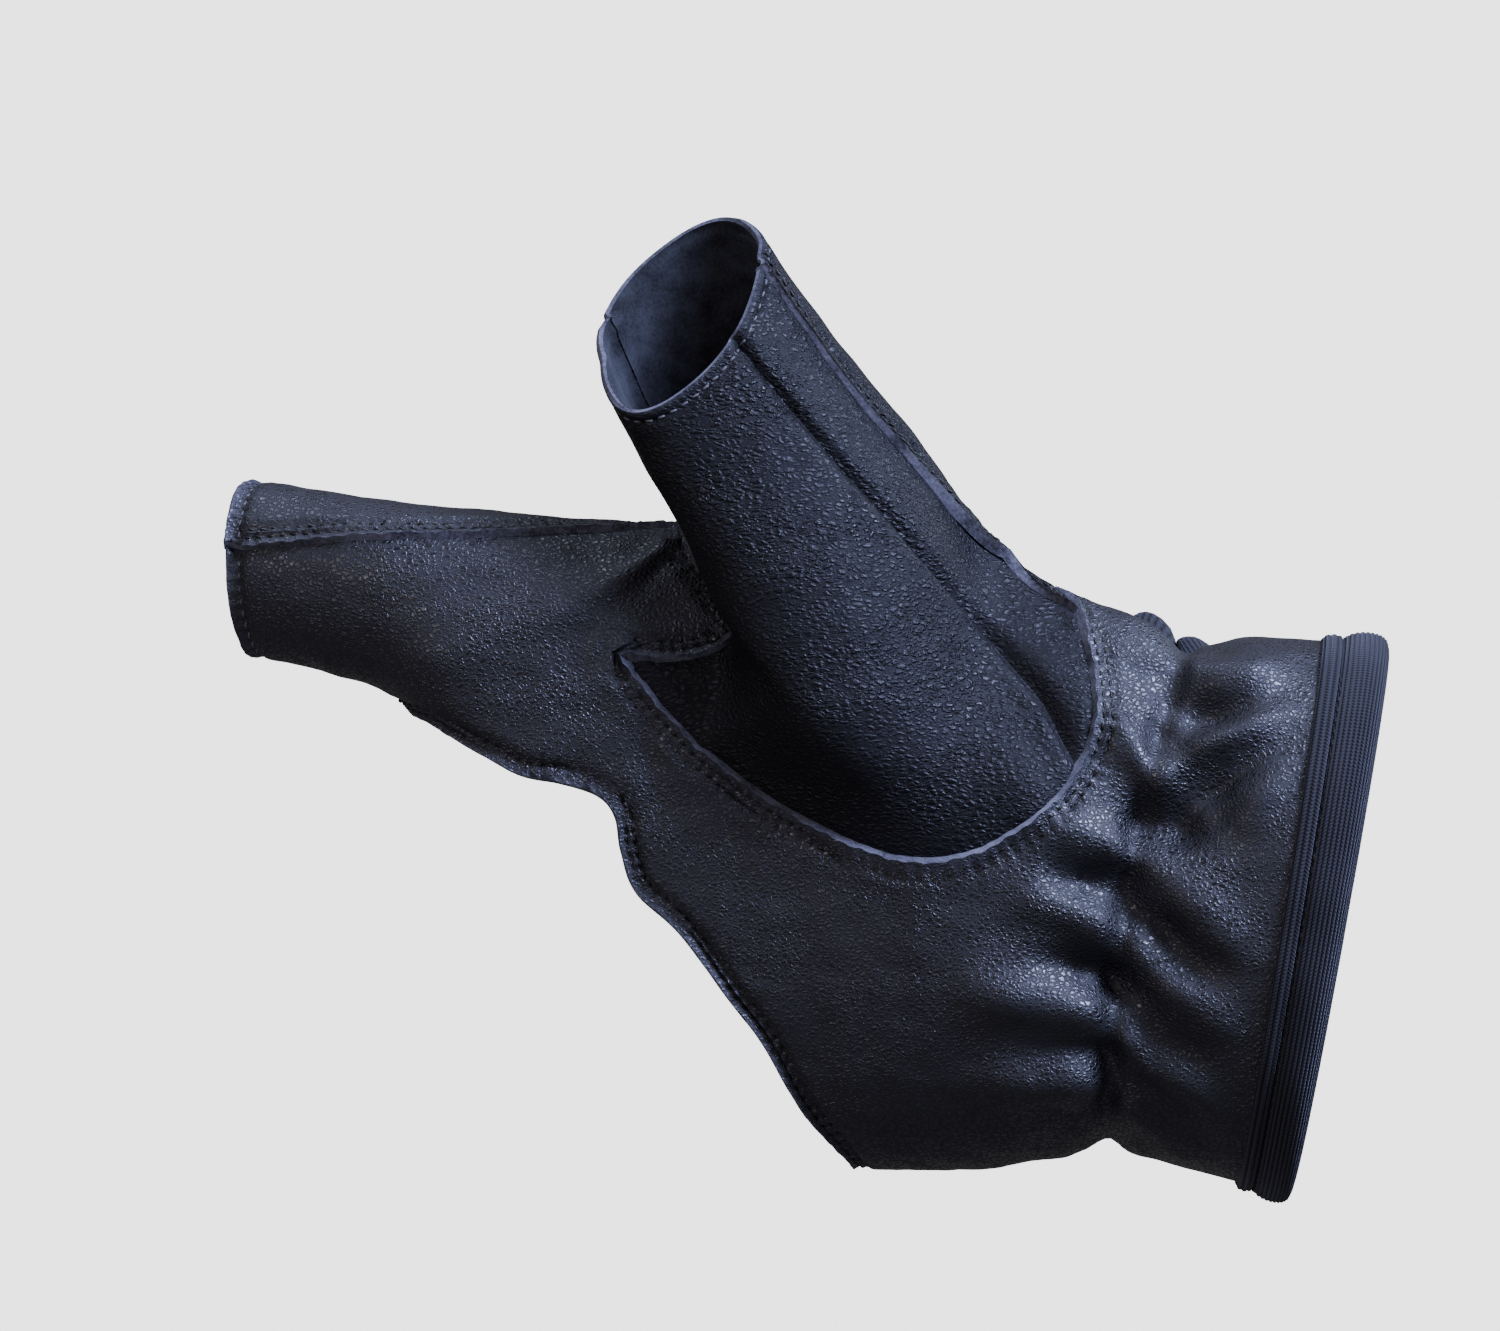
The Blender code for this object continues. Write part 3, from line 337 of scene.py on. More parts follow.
def curve(points, step):
    laid = flat(np.asarray(points, float))
    ends = np.vstack([laid[0] * 2 - laid[1], laid, laid[-1] * 2 - laid[-2]])
    out = []
    for a, b, c, d in zip(ends, ends[1:], ends[2:], ends[3:]):
        pieces = max(1, round(np.linalg.norm(c - b) / step))
        out.append(catmull(a, b, c, d, (np.arange(pieces) / pieces)[:, None]))
    return np.vstack([unflat(np.vstack(out)), points[-1]])


def lengthLine(phi, start, end, step):
    length = abs(float(np.interp(end, fineRows, travel) - np.interp(start, fineRows, travel)))
    s = np.linspace(start, end, max(2, round(length / step) + 1))
    return np.stack([s, np.full(len(s), float(phi))], -1)


def ringLine(s, start, end, step):
    length = abs(math.radians(end - start)) * float(radius(np.array(s)))
    phi = np.linspace(start, end, max(3, round(length / step) + 1))
    return np.stack([np.full(len(phi), s), phi], -1)


def straight(start, end, step):
    a, b = flat(np.array(start)), flat(np.array(end))
    f = np.linspace(0, 1, max(2, round(np.linalg.norm(b - a) / step) + 1))[:, None]
    return np.vstack([unflat(a + (b - a) * f)[:-1], end])


def joined(*lines):
    points = np.vstack(lines)
    laid = flat(points)
    keep = [0]
    for i in range(1, len(points)):
        if np.linalg.norm(laid[i] - laid[keep[-1]]) > 1.2e-4:
            keep.append(i)
    if np.linalg.norm(laid[keep[-1]] - laid[0]) < 1.2e-4:
        keep.pop()
    return points[keep]


def inside(points, outline):
    found = np.zeros(len(points), bool)
    for a, b in zip(outline, np.roll(outline, -1, axis=0)):
        if a[1] == b[1]:
            continue
        spans = (a[1] > points[:, 1]) != (b[1] > points[:, 1])
        found ^= spans & (points[:, 0] < a[0] + (b[0] - a[0]) * (points[:, 1] - a[1]) / (b[1] - a[1]))
    return found


def nearLine(points, line):  # distance to a line of points and how far along it, in any number of dimensions
    ends, step = line[:-1], np.diff(line, axis=0)
    lengths = np.linalg.norm(step, axis=1)
    start = np.concatenate([[0], np.cumsum(lengths)[:-1]])
    away, along = np.empty(len(points)), np.empty(len(points))
    for i in range(0, len(points), 1500):
        p = points[i:i + 1500, None]
        t = np.clip(((p - ends) * step).sum(-1) / np.maximum(lengths ** 2, 1e-18), 0, 1)
        d = np.linalg.norm(p - ends - step * t[..., None], axis=-1)
        j = d.argmin(1)
        pick = np.arange(len(j))
        away[i:i + 1500] = d[pick, j]
        along[i:i + 1500] = start[j] + t[pick, j] * lengths[j]
    return away, along


def filled(outline, rows, size):  # points (s, phi) and triangles in an outline, closer at its edge
    laid = flat(outline)
    ring = np.vstack([laid, laid[:1]])
    turnedIn = 1 if np.cross(laid, np.roll(laid, -1, axis=0)).sum() > 0 else -1
    way = unit(np.roll(laid, -1, axis=0) - np.roll(laid, 1, axis=0))
    inward = np.stack([-way[:, 1], way[:, 0]], -1) * turnedIn
    kept = [laid]
    for k, depth in enumerate(rows):
        line = laid + inward * depth
        line = line[(k % 2)::2] if k > 2 else line
        line = line[inside(line, laid)]
        line = line[nearLine(line, ring)[0] > depth * 0.93]
        apart = np.concatenate([[True], np.linalg.norm(np.diff(line, axis=0), axis=1) > 0.00025])
        kept.append(line[apart])
    low, high = laid.min(0), laid.max(0)
    u, v = np.arange(low[0], high[0], size * 0.87), np.arange(low[1], high[1], size)
    u, v = np.meshgrid(u, v, indexing="ij")
    v[1::2] += size / 2
    grid = np.stack([u.ravel(), v.ravel()], -1)
    grid = grid[inside(grid, laid)]
    grid = grid[nearLine(grid, ring)[0] > (rows[-1] if rows else 0) + size * 0.6]
    points = np.vstack(kept + [grid])
    edges = [(i, (i + 1) % len(laid)) for i in range(len(laid))]
    verts, _, faces, _, _, _ = delaunay_2d_cdt([Vector(p) for p in points], edges, [], 0, 1e-7)
    verts = np.array([tuple(p) for p in verts])
    faces = np.array([f for f in faces if len(f) == 3])
    a, b, c = (verts[faces[:, i]] for i in range(3))
    whole = inside((a + b + c) / 3, laid) & (np.abs(np.cross(b - a, c - a)) > 1e-12)
    return unflat(verts), faces[whole]


def facingOut(points, faces, middle):
    a, b, c = (points[faces[:, i]] for i in range(3))
    out = (np.cross(b - a, c - a) * (a - middle)).sum()
    return faces if out > 0 else faces[:, ::-1]


def meshNormals(points, faces):
    a, b, c = (points[faces[:, i]] for i in range(3))
    n = np.cross(b - a, c - a)
    total = np.zeros_like(points)
    for i in range(3):
        np.add.at(total, faces[:, i], n)
    return unit(total)


def makeMesh(name, points, faces, materials, pick=None, sharp=60):
    mesh = bpy.data.meshes.new(name)
    mesh.from_pydata(points.tolist(), [], [list(map(int, f)) for f in faces])
    for material in materials:
        mesh.materials.append(material)
    if pick is not None:
        mesh.polygons.foreach_set("material_index", np.asarray(pick, np.int32))
    mesh.polygons.foreach_set("use_smooth", np.ones(len(mesh.polygons), bool))
    mesh.update()
    if sharp:
        mesh.set_sharp_from_angle(angle=math.radians(sharp))
    obj = bpy.data.objects.new(name, mesh)
    bpy.context.scene.collection.objects.link(obj)
    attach(obj, "root")
    return obj


def shell(name, base, normals, faces, height, edge, materials):
    # edge holds how far each point of a cut edge leans in at the face, and how far out and down its foot is
    thickness = glove["leather"]
    outer = base + normals * height[:, None]
    count = len(base)
    a, b = faces.ravel(), np.roll(faces, -1, axis=1).ravel()
    rim = ~np.isin(a.astype(np.int64) * count + b, b.astype(np.int64) * count + a)
    a, b = a[rim], b[rim]
    outward = np.zeros_like(base)
    side = np.cross(unit(base[b] - base[a]), (normals[a] + normals[b]) / 2)
    np.add.at(outward, a, side)
    np.add.at(outward, b, side)
    outward = unit(outward)
    inner = outer - normals * thickness
    worn, raw = edge["worn"], edge["raw"] > 0.5
    onRim = np.unique(np.concatenate([a, b]))
    foot = outer[onRim] + outward[onRim] * edge["out"][onRim, None]
    foot -= normals[onRim] * edge["down"][onRim, None]
    outer[onRim] -= outward[onRim] * edge["in"][onRim, None]
    inner[onRim] -= outward[onRim] * 0.0003
    place = np.zeros(count, int)
    place[onRim] = np.arange(len(onRim)) + 2 * count
    points = np.vstack([outer, inner, foot])
    upper = np.stack([b, a, place[a], place[b]], -1)
    lower = np.stack([place[b], place[a], a + count, b + count], -1)
    shapes = faces.tolist() + (faces[:, ::-1] + count).tolist() + upper.tolist() + lower.tolist()
    cut = np.where(raw[a] & raw[b], 2, 0)
    pick = np.concatenate([np.zeros(len(faces)), np.ones(len(faces)), cut, cut])
    obj = makeMesh(name, points, shapes, materials, pick)
    wear = np.zeros(len(points))
    wear[:count] = worn
    obj.data.attributes.new("worn", "FLOAT", "POINT").data.foreach_set("value", wear.astype(np.float32))
    return obj


print("shape functions ready")

# The line that the thumb is sewn along, once round: wrist side, under, across the leaf, web, back
seatStep = 0.0008
underLine = curve(find(loopUnder), seatStep)
crossLine = curve(np.vstack([underLine[-1:], find(loopCross[::-1]), find(leafUpper[-1:])]), seatStep)
webLine = curve(np.vstack([crossLine[-1:], find(loopWeb), underLine[:1]]), seatStep)
seat = joined(underLine, crossLine, webLine)
seatPoints = plainForm(seat[:, 0], seat[:, 1])
seatCentre = seatPoints.mean(0)
seatSteps = np.linalg.norm(np.roll(seatPoints, -1, axis=0) - seatPoints, axis=1)
seatTravel = np.concatenate([[0], np.cumsum(seatSteps)])
seatFlat = np.vstack([flat(seat), flat(seat[:1])])


def nearestSeat(row):
    s, phi = find([row])[0]
    return int(np.linalg.norm(seatPoints - plainForm(s, phi), axis=1).argmin())


markAngles = np.array([0.0, 90, 180, 270, 360])
markTravels = np.array([
    0, seatTravel[nearestSeat(loopUnder[6])], seatTravel[nearestSeat(loopWeb[3])],
    seatTravel[nearestSeat(loopWeb[8])], seatTravel[-1],
])


def seatAt(theta):  # (s, phi) of the seat at theta degrees round the thumb
    t = np.interp(np.mod(theta, 360), markAngles, markTravels)
    return unflat(np.stack([np.interp(t, seatTravel, seatFlat[:, i]) for i in (0, 1)], -1))


def seatAngle(distance):
    return float(np.interp(distance, markTravels, markAngles))


def thumb(t, theta):  # t is 0 at the opening and 5 at the seat
    t, theta = np.broadcast_arrays(np.asarray(t, float), np.asarray(theta, float))
    a = np.radians(theta)[..., None]
    e = 2 / thumbSquare
    knots = []
    for left, front, right, back in thumbRings:
        centre = (left + right) / 2
        depth = np.where(np.sin(a) > 0, front, back)
        aside = (right - left) / 2 * power(np.cos(a), e)
        knots.append(centre + aside + (depth - centre) * np.abs(np.sin(a)) ** e)
    spot = seatAt(theta)
    knots.append(foldedForm(spot[..., 0], spot[..., 1]))
    last = knots[5] - knots[4]
    normal = plainNormal(spot[..., 0], spot[..., 1])
    inward = seatCentre - knots[5]
    inward -= normal * (inward * normal).sum(-1, keepdims=True)
    lying = np.clip(-1.5 * (unit(last) * unit(inward)).sum(-1, keepdims=True), 0, 1)
    flatter = last - normal * (last * normal).sum(-1, keepdims=True) * 0.85 * lying
    slopes = [knots[1] - knots[0]] + [(knots[i + 1] - knots[i - 1]) / 2 for i in range(1, 5)]
    slopes.append(unit(flatter) * np.linalg.norm(last, axis=-1, keepdims=True))
    knots, slopes = np.array(knots), np.array(slopes)
    i = np.clip(t.astype(int), 0, 4)
    f = (t - i)[..., None]
    g = f * f * (3 - 2 * f)
    k0, k1, m0, m1 = (
        np.take_along_axis(rows, index[None, ..., None], 0)[0]
        for rows, index in ((knots, i), (knots, i + 1), (slopes, i), (slopes, i + 1))
    )
    return k0 * (1 - g) + k1 * g + m0 * (f ** 3 - 2 * f * f + f) + m1 * (f ** 3 - f * f)


def creaseSide(p):
    q = p[..., [0, 2]]
    best, side = np.full(q.shape[:-1], 9.0), np.zeros(q.shape[:-1])
    for a, b in zip(creaseLine, creaseLine[1:]):
        e = b - a
        t = np.clip(((q - a) @ e) / (e @ e), 0, 1)
        away = np.linalg.norm(q - a - t[..., None] * e, axis=-1)
        turn = e[0] * (q[..., 1] - a[1]) - e[1] * (q[..., 0] - a[0])
        side = np.where(away < best, turn, side)
        best = np.minimum(away, best)
    return -side


def creaseAngle(t):
    t = np.asarray(t, float)
    low, high = np.full(t.shape, 4.0), np.full(t.shape, 86.0)
    for _ in range(20):
        middle = (low + high) / 2
        front = creaseSide(thumb(t, middle)) > 0
        low, high = np.where(front, low, middle), np.where(front, middle, high)
    return (low + high) / 2


def backSeamAngle(t):
    return alongRows(thumbBackSeam, t)[..., 0]


crossAngles = (seatAngle(seatTravel[len(underLine) - 1]), seatAngle(seatTravel[nearestSeat(leafUpper[-1])]))
wristAngles = np.linspace(280, 359, 400)
wristTheta = float(wristAngles[np.abs(seatAt(wristAngles)[:, 1] - turns["wrist"]).argmin()])
webAngles = np.linspace(181, 250, 400)
webTheta = float(webAngles[np.abs(seatAt(webAngles)[:, 1] - 88).argmin()])


def seatPart(start, end, step):  # the seat from one angle to another, as (s, phi)
    end = end if end > start else end + 360
    theta = np.linspace(start, end, 400)
    spots = seatAt(theta)
    p = plainForm(spots[:, 0], spots[:, 1])
    gone = np.concatenate([[0], np.cumsum(np.linalg.norm(np.diff(p, axis=0), axis=1))])
    return seatAt(np.interp(np.linspace(0, gone[-1], max(2, round(gone[-1] / step))), gone, theta))


print("thumb seat ready")

# Materials

leatherLook = {
    "body": {
        "colour": (0.0026, 0.0025, 0.0036), "worn": (0.034, 0.037, 0.060), "cell": 0.00082, "depth": 0.85,
        "stretch": (0.85, 1.0, 1.15), "fine": 0.10, "rough": 0.34, "dull": 0.40, "coat": 0.14, "shine": 1.00,
    },
    "thumb": {
        "colour": (0.0022, 0.0021, 0.0031), "worn": (0.036, 0.039, 0.062), "cell": 0.00080, "depth": 1.25,
        "stretch": (0.50, 0.9, 1.00), "fine": 0.40, "rough": 0.41, "dull": 0.28, "coat": 0.0, "shine": 0.42,
    },
}
suedeLook = {"colour": (0.020, 0.022, 0.033), "edge": (0.092, 0.095, 0.142)}
knitLook = {"colour": (0.0125, 0.0135, 0.0230)}
threadLook = {"black": (0.0050, 0.0050, 0.0070), "grey": (0.085, 0.090, 0.125)}


class Tree:  # short ways to place nodes and links
    def __init__(self, tree):
        self.tree = tree

    def feed(self, inputs, values):  # a socket is linked, and anything else is set
        for key, value in values.items():
            if isinstance(value, bpy.types.NodeSocket):
                self.tree.links.new(value, inputs[key])
            else:
                inputs[key].default_value = value

    def node(self, kind, values=None, **settings):
        node = self.tree.nodes.new(kind)
        for key, value in settings.items():
            setattr(node, key, value)
        self.feed(node.inputs, values or {})
        return node

    def maths(self, operation, a, b=0.5):
        return self.node("ShaderNodeMath", {0: a, 1: b}, operation=operation).outputs[0]

    def vectors(self, operation, a, b):
        return self.node("ShaderNodeVectorMath", {0: a, 1: b}, operation=operation).outputs[0]

    def spread(self, value, fromMin, fromMax, toMin=0.0, toMax=1.0):
        values = {"Value": value, "From Min": fromMin, "From Max": fromMax, "To Min": toMin, "To Max": toMax}
        return self.node("ShaderNodeMapRange", values).outputs["Result"]

    def mix(self, factor, a, b):
        return self.node("ShaderNodeMix", {0: factor, 6: a, 7: b}, data_type="RGBA").outputs[2]

    def shades(self, factor, colour, low, high):  # from a darker to a lighter one of the same colour
        return self.mix(factor, *[(*[c * share for c in colour], 1) for share in (low, high)])

    def bump(self, height, strength, distance):
        values = {"Height": height, "Strength": strength, "Distance": distance}
        return self.node("ShaderNodeBump", values).outputs[0]


def newGroup(name, ins, outs):
    group = bpy.data.node_groups.new(name, "ShaderNodeTree")
    for label, value in ins.items():
        kind = "NodeSocketVector" if isinstance(value, tuple) else "NodeSocketFloat"
        group.interface.new_socket(label, in_out="INPUT", socket_type=kind).default_value = value
    for label in outs:
        group.interface.new_socket(label, in_out="OUTPUT", socket_type="NodeSocketFloat")
    t = Tree(group)
    return group, t, t.node("NodeGroupInput").outputs, t.node("NodeGroupOutput").inputs


grainLook = {"warp": 0.0012, "fineScale": 3200.0, "patchScale": 95.0, "domeEnd": 0.36}


def grainGroup():
    group, t, given, out = newGroup(
        "leatherGrain", {"Cell": 0.001, "Depth": 0.5, "Stretch": (1.0, 1.0, 1.0), "Fine": 0.2},
        ("Height", "Pebble", "Patch"),
    )
    bodyPlace = t.node("ShaderNodeTexCoord").outputs["Object"]
    place = t.vectors("MULTIPLY", bodyPlace, given["Stretch"])
    scale = t.maths("DIVIDE", 1.0, given["Cell"])
    driftValues = {"Vector": place, "Scale": t.maths("MULTIPLY", scale, 0.85), "Detail": 3}
    drift = t.node("ShaderNodeTexNoise", driftValues).outputs["Color"]
    moved = t.vectors("ADD", place, t.vectors("MULTIPLY", drift, (grainLook["warp"],) * 3))
    pebbles = t.node("ShaderNodeTexVoronoi", {"Vector": moved, "Scale": scale}, feature="DISTANCE_TO_EDGE")
    domeValues = {"Value": pebbles.outputs["Distance"], "From Max": grainLook["domeEnd"]}
    dome = t.node("ShaderNodeMapRange", domeValues, interpolation_type="SMOOTHSTEP").outputs[0]
    fineValues = {"Vector": bodyPlace, "Scale": grainLook["fineScale"], "Detail": 1}
    fineNoise = t.node("ShaderNodeTexNoise", fineValues).outputs["Fac"]
    patchValues = {"Vector": place, "Scale": grainLook["patchScale"], "Detail": 3}
    patch = t.node("ShaderNodeTexNoise", patchValues).outputs["Fac"]
    slow = t.spread(patch, 0.35, 0.65, 0.55, 1.15)
    both = t.maths("ADD", t.maths("MULTIPLY", dome, 0.85), t.maths("MULTIPLY", fineNoise, given["Fine"]))
    height = t.maths("MULTIPLY", both, t.maths("MULTIPLY", slow, given["Depth"]))
    # Pebble is high on the pebble tops and low in the grooves; the leather colour uses it for painted shade
    # in the grooves.
    t.feed(out, {"Height": height, "Pebble": dome, "Patch": patch})
    return group


def napGroup():
    group, t, given, out = newGroup("suedeNap", {"Size": 0.0004}, ("Height", "Tone"))
    place = t.node("ShaderNodeTexCoord").outputs["Object"]
    scale = t.maths("DIVIDE", 1.0, given["Size"])
    fineValues = {"Vector": place, "Scale": scale, "Detail": 4, "Roughness": 0.65}
    fine = t.node("ShaderNodeTexNoise", fineValues).outputs["Fac"]
    broadValues = {"Vector": place, "Scale": t.maths("MULTIPLY", scale, 0.12), "Detail": 2}
    broad = t.node("ShaderNodeTexNoise", broadValues).outputs["Fac"]
    tone = t.maths("ADD", t.maths("MULTIPLY", fine, 0.5), t.maths("MULTIPLY", broad, 0.5))
    t.feed(out, {"Height": fine, "Tone": tone})
    return group


def knitGroup():  # ribs with slanting stitches on them; Tone is the rib profile, used for painted shade in the grooves
    group, t, given, out = newGroup("ribKnit", {"Wale": 0.00066, "Stitch": 0.0006}, ("Height", "Tone"))
    place = t.node("ShaderNodeUVMap", uv_map="knit").outputs["UV"]
    parts = t.node("ShaderNodeSeparateXYZ", {0: place})
    side = t.maths("PINGPONG", t.maths("DIVIDE", parts.outputs["Y"], given["Wale"]), 0.5)
    slant = t.maths("MULTIPLY", side, 1.3)
    along = t.maths("ADD", t.maths("DIVIDE", parts.outputs["X"], given["Stitch"]), slant)
    rib = t.maths("SINE", t.maths("MULTIPLY", side, math.pi))
    loop = t.maths("MULTIPLY", t.maths("PINGPONG", along, 0.5), 0.75)
    t.feed(out, {"Height": t.maths("ADD", t.maths("MULTIPLY", rib, 0.7), loop), "Tone": rib})
    return group


grain, nap, knit = grainGroup(), napGroup(), knitGroup()


def newMaterial(name):
    material = bpy.data.materials.new(name)
    material.use_nodes = True
    material.node_tree.nodes.clear()
    t = Tree(material.node_tree)
    shader = t.node("ShaderNodeBsdfPrincipled")
    t.node("ShaderNodeOutputMaterial", {"Surface": shader.outputs[0]})
    return material, t, shader


def leatherMaterial(name, look):
    material, t, shader = newMaterial(name)
    given = {"Cell": look["cell"], "Depth": look["depth"], "Stretch": look["stretch"], "Fine": look["fine"]}
    g = t.node("ShaderNodeGroup", given, node_tree=grain).outputs
    worn = t.node("ShaderNodeAttribute", attribute_name="worn").outputs["Fac"]
    edged = t.maths("MULTIPLY", worn, t.spread(g["Patch"], 0.3, 0.7, 0.5, 1.0))
    uneven = t.spread(g["Patch"], 0.3, 0.7, look["rough"] + 0.07, look["rough"] - 0.07)
    t.feed(shader.inputs, {
        # Base colour: painted shade, darker in the grain's grooves and lighter on the pebble tops; mixed
        # towards the worn colour at the cut edges
        "Base Color": t.mix(edged, t.shades(g["Pebble"], look["colour"], 0.50, 1.35), (*look["worn"], 1)),
        "Roughness": t.maths("ADD", uneven, t.spread(g["Pebble"], 0.0, 0.6, look["dull"], 0.0)),
        "Normal": t.bump(g["Height"], 0.9, 0.00017),
        "Coat Weight": t.maths("MULTIPLY", g["Pebble"], look["coat"]),
        "Coat Roughness": 0.28,
        "Specular IOR Level": look["shine"],
        "Specular Tint": (0.74, 0.78, 1.0, 1),
    })
    return material


def napMaterial(name, colour, size, depth):
    material, t, shader = newMaterial(name)
    g = t.node("ShaderNodeGroup", {"Size": size}, node_tree=nap).outputs
    t.feed(shader.inputs, {
        "Base Color": t.shades(t.spread(g["Tone"], 0.38, 0.62), colour, 0.30, 1.6),
        "Normal": t.bump(g["Height"], 0.8, depth),
        "Roughness": 0.92,
        "Specular IOR Level": 0.2,
        "Sheen Weight": 0.35,
        "Sheen Roughness": 0.5,
        "Sheen Tint": (0.55, 0.62, 0.85, 1),
    })
    return material


def knitMaterial(name, colour):
    material, t, shader = newMaterial(name)
    g = t.node("ShaderNodeGroup", {}, node_tree=knit).outputs
    t.feed(shader.inputs, {
        # Base colour: painted shade, near-black in the grooves between ribs, and a painted highlight,
        # lighter, on the rib crests
        "Base Color": t.shades(g["Tone"], colour, 0.06, 1.9),
        "Normal": t.bump(g["Height"], 0.9, 0.00025),
        "Roughness": 0.8,
        "Specular IOR Level": 0.3,
        "Sheen Weight": 0.25,
        "Sheen Roughness": 0.4,
        "Sheen Tint": (0.6, 0.66, 0.9, 1),
    })
    return material


def threadMaterial(name, colour):
    material, t, shader = newMaterial(name)
    g = t.node("ShaderNodeGroup", {"Size": 0.00025}, node_tree=nap).outputs
    t.feed(shader.inputs, {
        "Base Color": t.shades(g["Tone"], colour, 0.6, 1.6),
        "Normal": t.bump(g["Height"], 0.5, 0.0001),
        "Roughness": 0.55,
    })
    return material


bodyLeather = leatherMaterial("bodyLeather", leatherLook["body"])
thumbLeather = leatherMaterial("thumbLeather", leatherLook["thumb"])
suede = napMaterial("suedeInside", suedeLook["colour"], 0.0005, 0.00012)
rawEdge = napMaterial("rawEdge", suedeLook["edge"], 0.0006, 0.00015)
knitCloth = knitMaterial("ribKnitCloth", knitLook["colour"])
blackThread = threadMaterial("blackThread", threadLook["black"])
greyThread = threadMaterial("greyThread", threadLook["grey"])

print("materials ready")

# Stitches

stitchLook = {"pitch": 0.0021, "length": 0.0015, "radius": 0.00023, "sink": 0.00035, "sides": 6, "rings": 7}


def stitches(name, rows, thread=blackThread):  # rows of (points, normals), one thread loop each pitch
    sides, rings = stitchLook["sides"], stitchLook["rings"]
    along = np.linspace(-0.5, 0.5, rings)
    swell = np.sqrt(np.clip(1 - (2 * along) ** 4, 0.06, 1))
    angle = np.arange(sides)[:, None] * 2 * math.pi / sides
    points, faces, start = [], [], 0
    for line, normals in rows:
        gone = np.concatenate([[0], np.cumsum(np.linalg.norm(np.diff(line, axis=0), axis=1))])
        count = max(1, int(gone[-1] / stitchLook["pitch"]))
        middle = (np.arange(count) + 0.5) * gone[-1] / count
        at = middle[:, None] + along * stitchLook["length"]
        p = np.stack([np.interp(at, gone, line[:, i]) for i in range(3)], -1)
        n = unit(np.stack([np.interp(at, gone, normals[:, i]) for i in range(3)], -1))
        side = unit(np.cross(np.gradient(p, axis=1), n))
        slant = np.where(np.arange(count) % 2, 0.12, 0.02)[:, None, None]  # every second one leans more
        slant = slant * along[:, None] * stitchLook["length"]
        sunk = stitchLook["radius"] * 0.55 - stitchLook["sink"] * (2 * along) ** 4
        p = p + side * slant + n * sunk[:, None]
        r = stitchLook["radius"] * swell[:, None, None]
        ring = p[:, :, None] + side[:, :, None] * (r * np.cos(angle)) + n[:, :, None] * (r * np.sin(angle))
        points.append(ring.reshape(-1, 3))
        for k in range(count):
            first = start + k * rings * sides
            for i in range(rings - 1):
                for j in range(sides):
                    a, b = first + i * sides + j, first + i * sides + (j + 1) % sides
                    faces.append((a, b, b + sides, a + sides))
            faces.append(tuple(range(first + sides - 1, first - 1, -1)))
            faces.append(tuple(range(first + (rings - 1) * sides, first + rings * sides)))
        start += count * rings * sides
    obj = makeMesh(name, np.vstack(points), faces, [thread], sharp=0)
    return obj


# How a panel's edges look, by kind: rise at the edge and how far that fades, rows of thread, and the cut
edgeLook = {
    "lap": {
        "rise": 0.00085, "fade": 0.0075, "rows": (0.0018, 0.0032),
        "in": 0.00060, "out": 0.0005, "down": 0.0017, "worn": 0.0005, "raw": 1,
    },
    "tuck": {
        "rise": -0.0002, "fade": 0.0012, "rows": (),
        "in": 0.0, "out": 0.0001, "down": 0.0006, "worn": 0, "raw": 0,
    },
    "hem": {
        "rise": 0.0, "fade": 0.001, "rows": (0.0012, 0.0026),
        "in": 0.00035, "out": 0.0001, "down": 0.0006, "worn": 0.0007, "raw": 1,
    },
    "tip": {
        "rise": 0.00015, "fade": 0.003, "rows": (0.0010, 0.0023),
        "in": 0.00035, "out": 0.0001, "down": 0.0006, "worn": 0.0017, "raw": 1,
    },
    "sewn": {
        "rise": -0.0009, "fade": 0.0016, "rows": (),
        "in": 0.0, "out": 0.0001, "down": 0.0004, "worn": 0, "raw": 0,
    },
    "bound": {
        "rise": 0.0, "fade": 0.001, "rows": (),
        "in": 0.0, "out": 0.0, "down": 0.0006, "worn": 0, "raw": 0,
    },
}
# The groove that a row of thread pulls in the leather, and its needle holes
groove = {"depth": 0.00055, "breadth": 0.00050, "pucker": 0.00046, "holeBreadth": 0.0007}


def profile(kind, away, along):
    look = edgeLook[kind]
    rise = look["rise"] * (1 - smoothStep(away / look["fade"]))
    for row in look["rows"]:
        rise -= groove["depth"] * np.exp(-(((away - row) / groove["breadth"]) ** 2))
        hole = np.exp(-(((away - row) / groove["holeBreadth"]) ** 2))
        rise -= groove["pucker"] * hole * (0.5 + 0.5 * np.cos(2 * math.pi * along / stitchLook["pitch"]))
    return rise


panelLook = {
    "mesh": 0.00112,     # how far apart the points of a panel are
    "step": 0.0006,      # and the points along its edge
    "rows": (0.0013, 0.0018, 0.0023, 0.0028, 0.0034, 0.0041),  # rows of points beside the edge
    "unevenness": 0.00018,
    "broad": 0.011,      # lengths of the two kinds of unevenness
    "close": 0.0042,
}


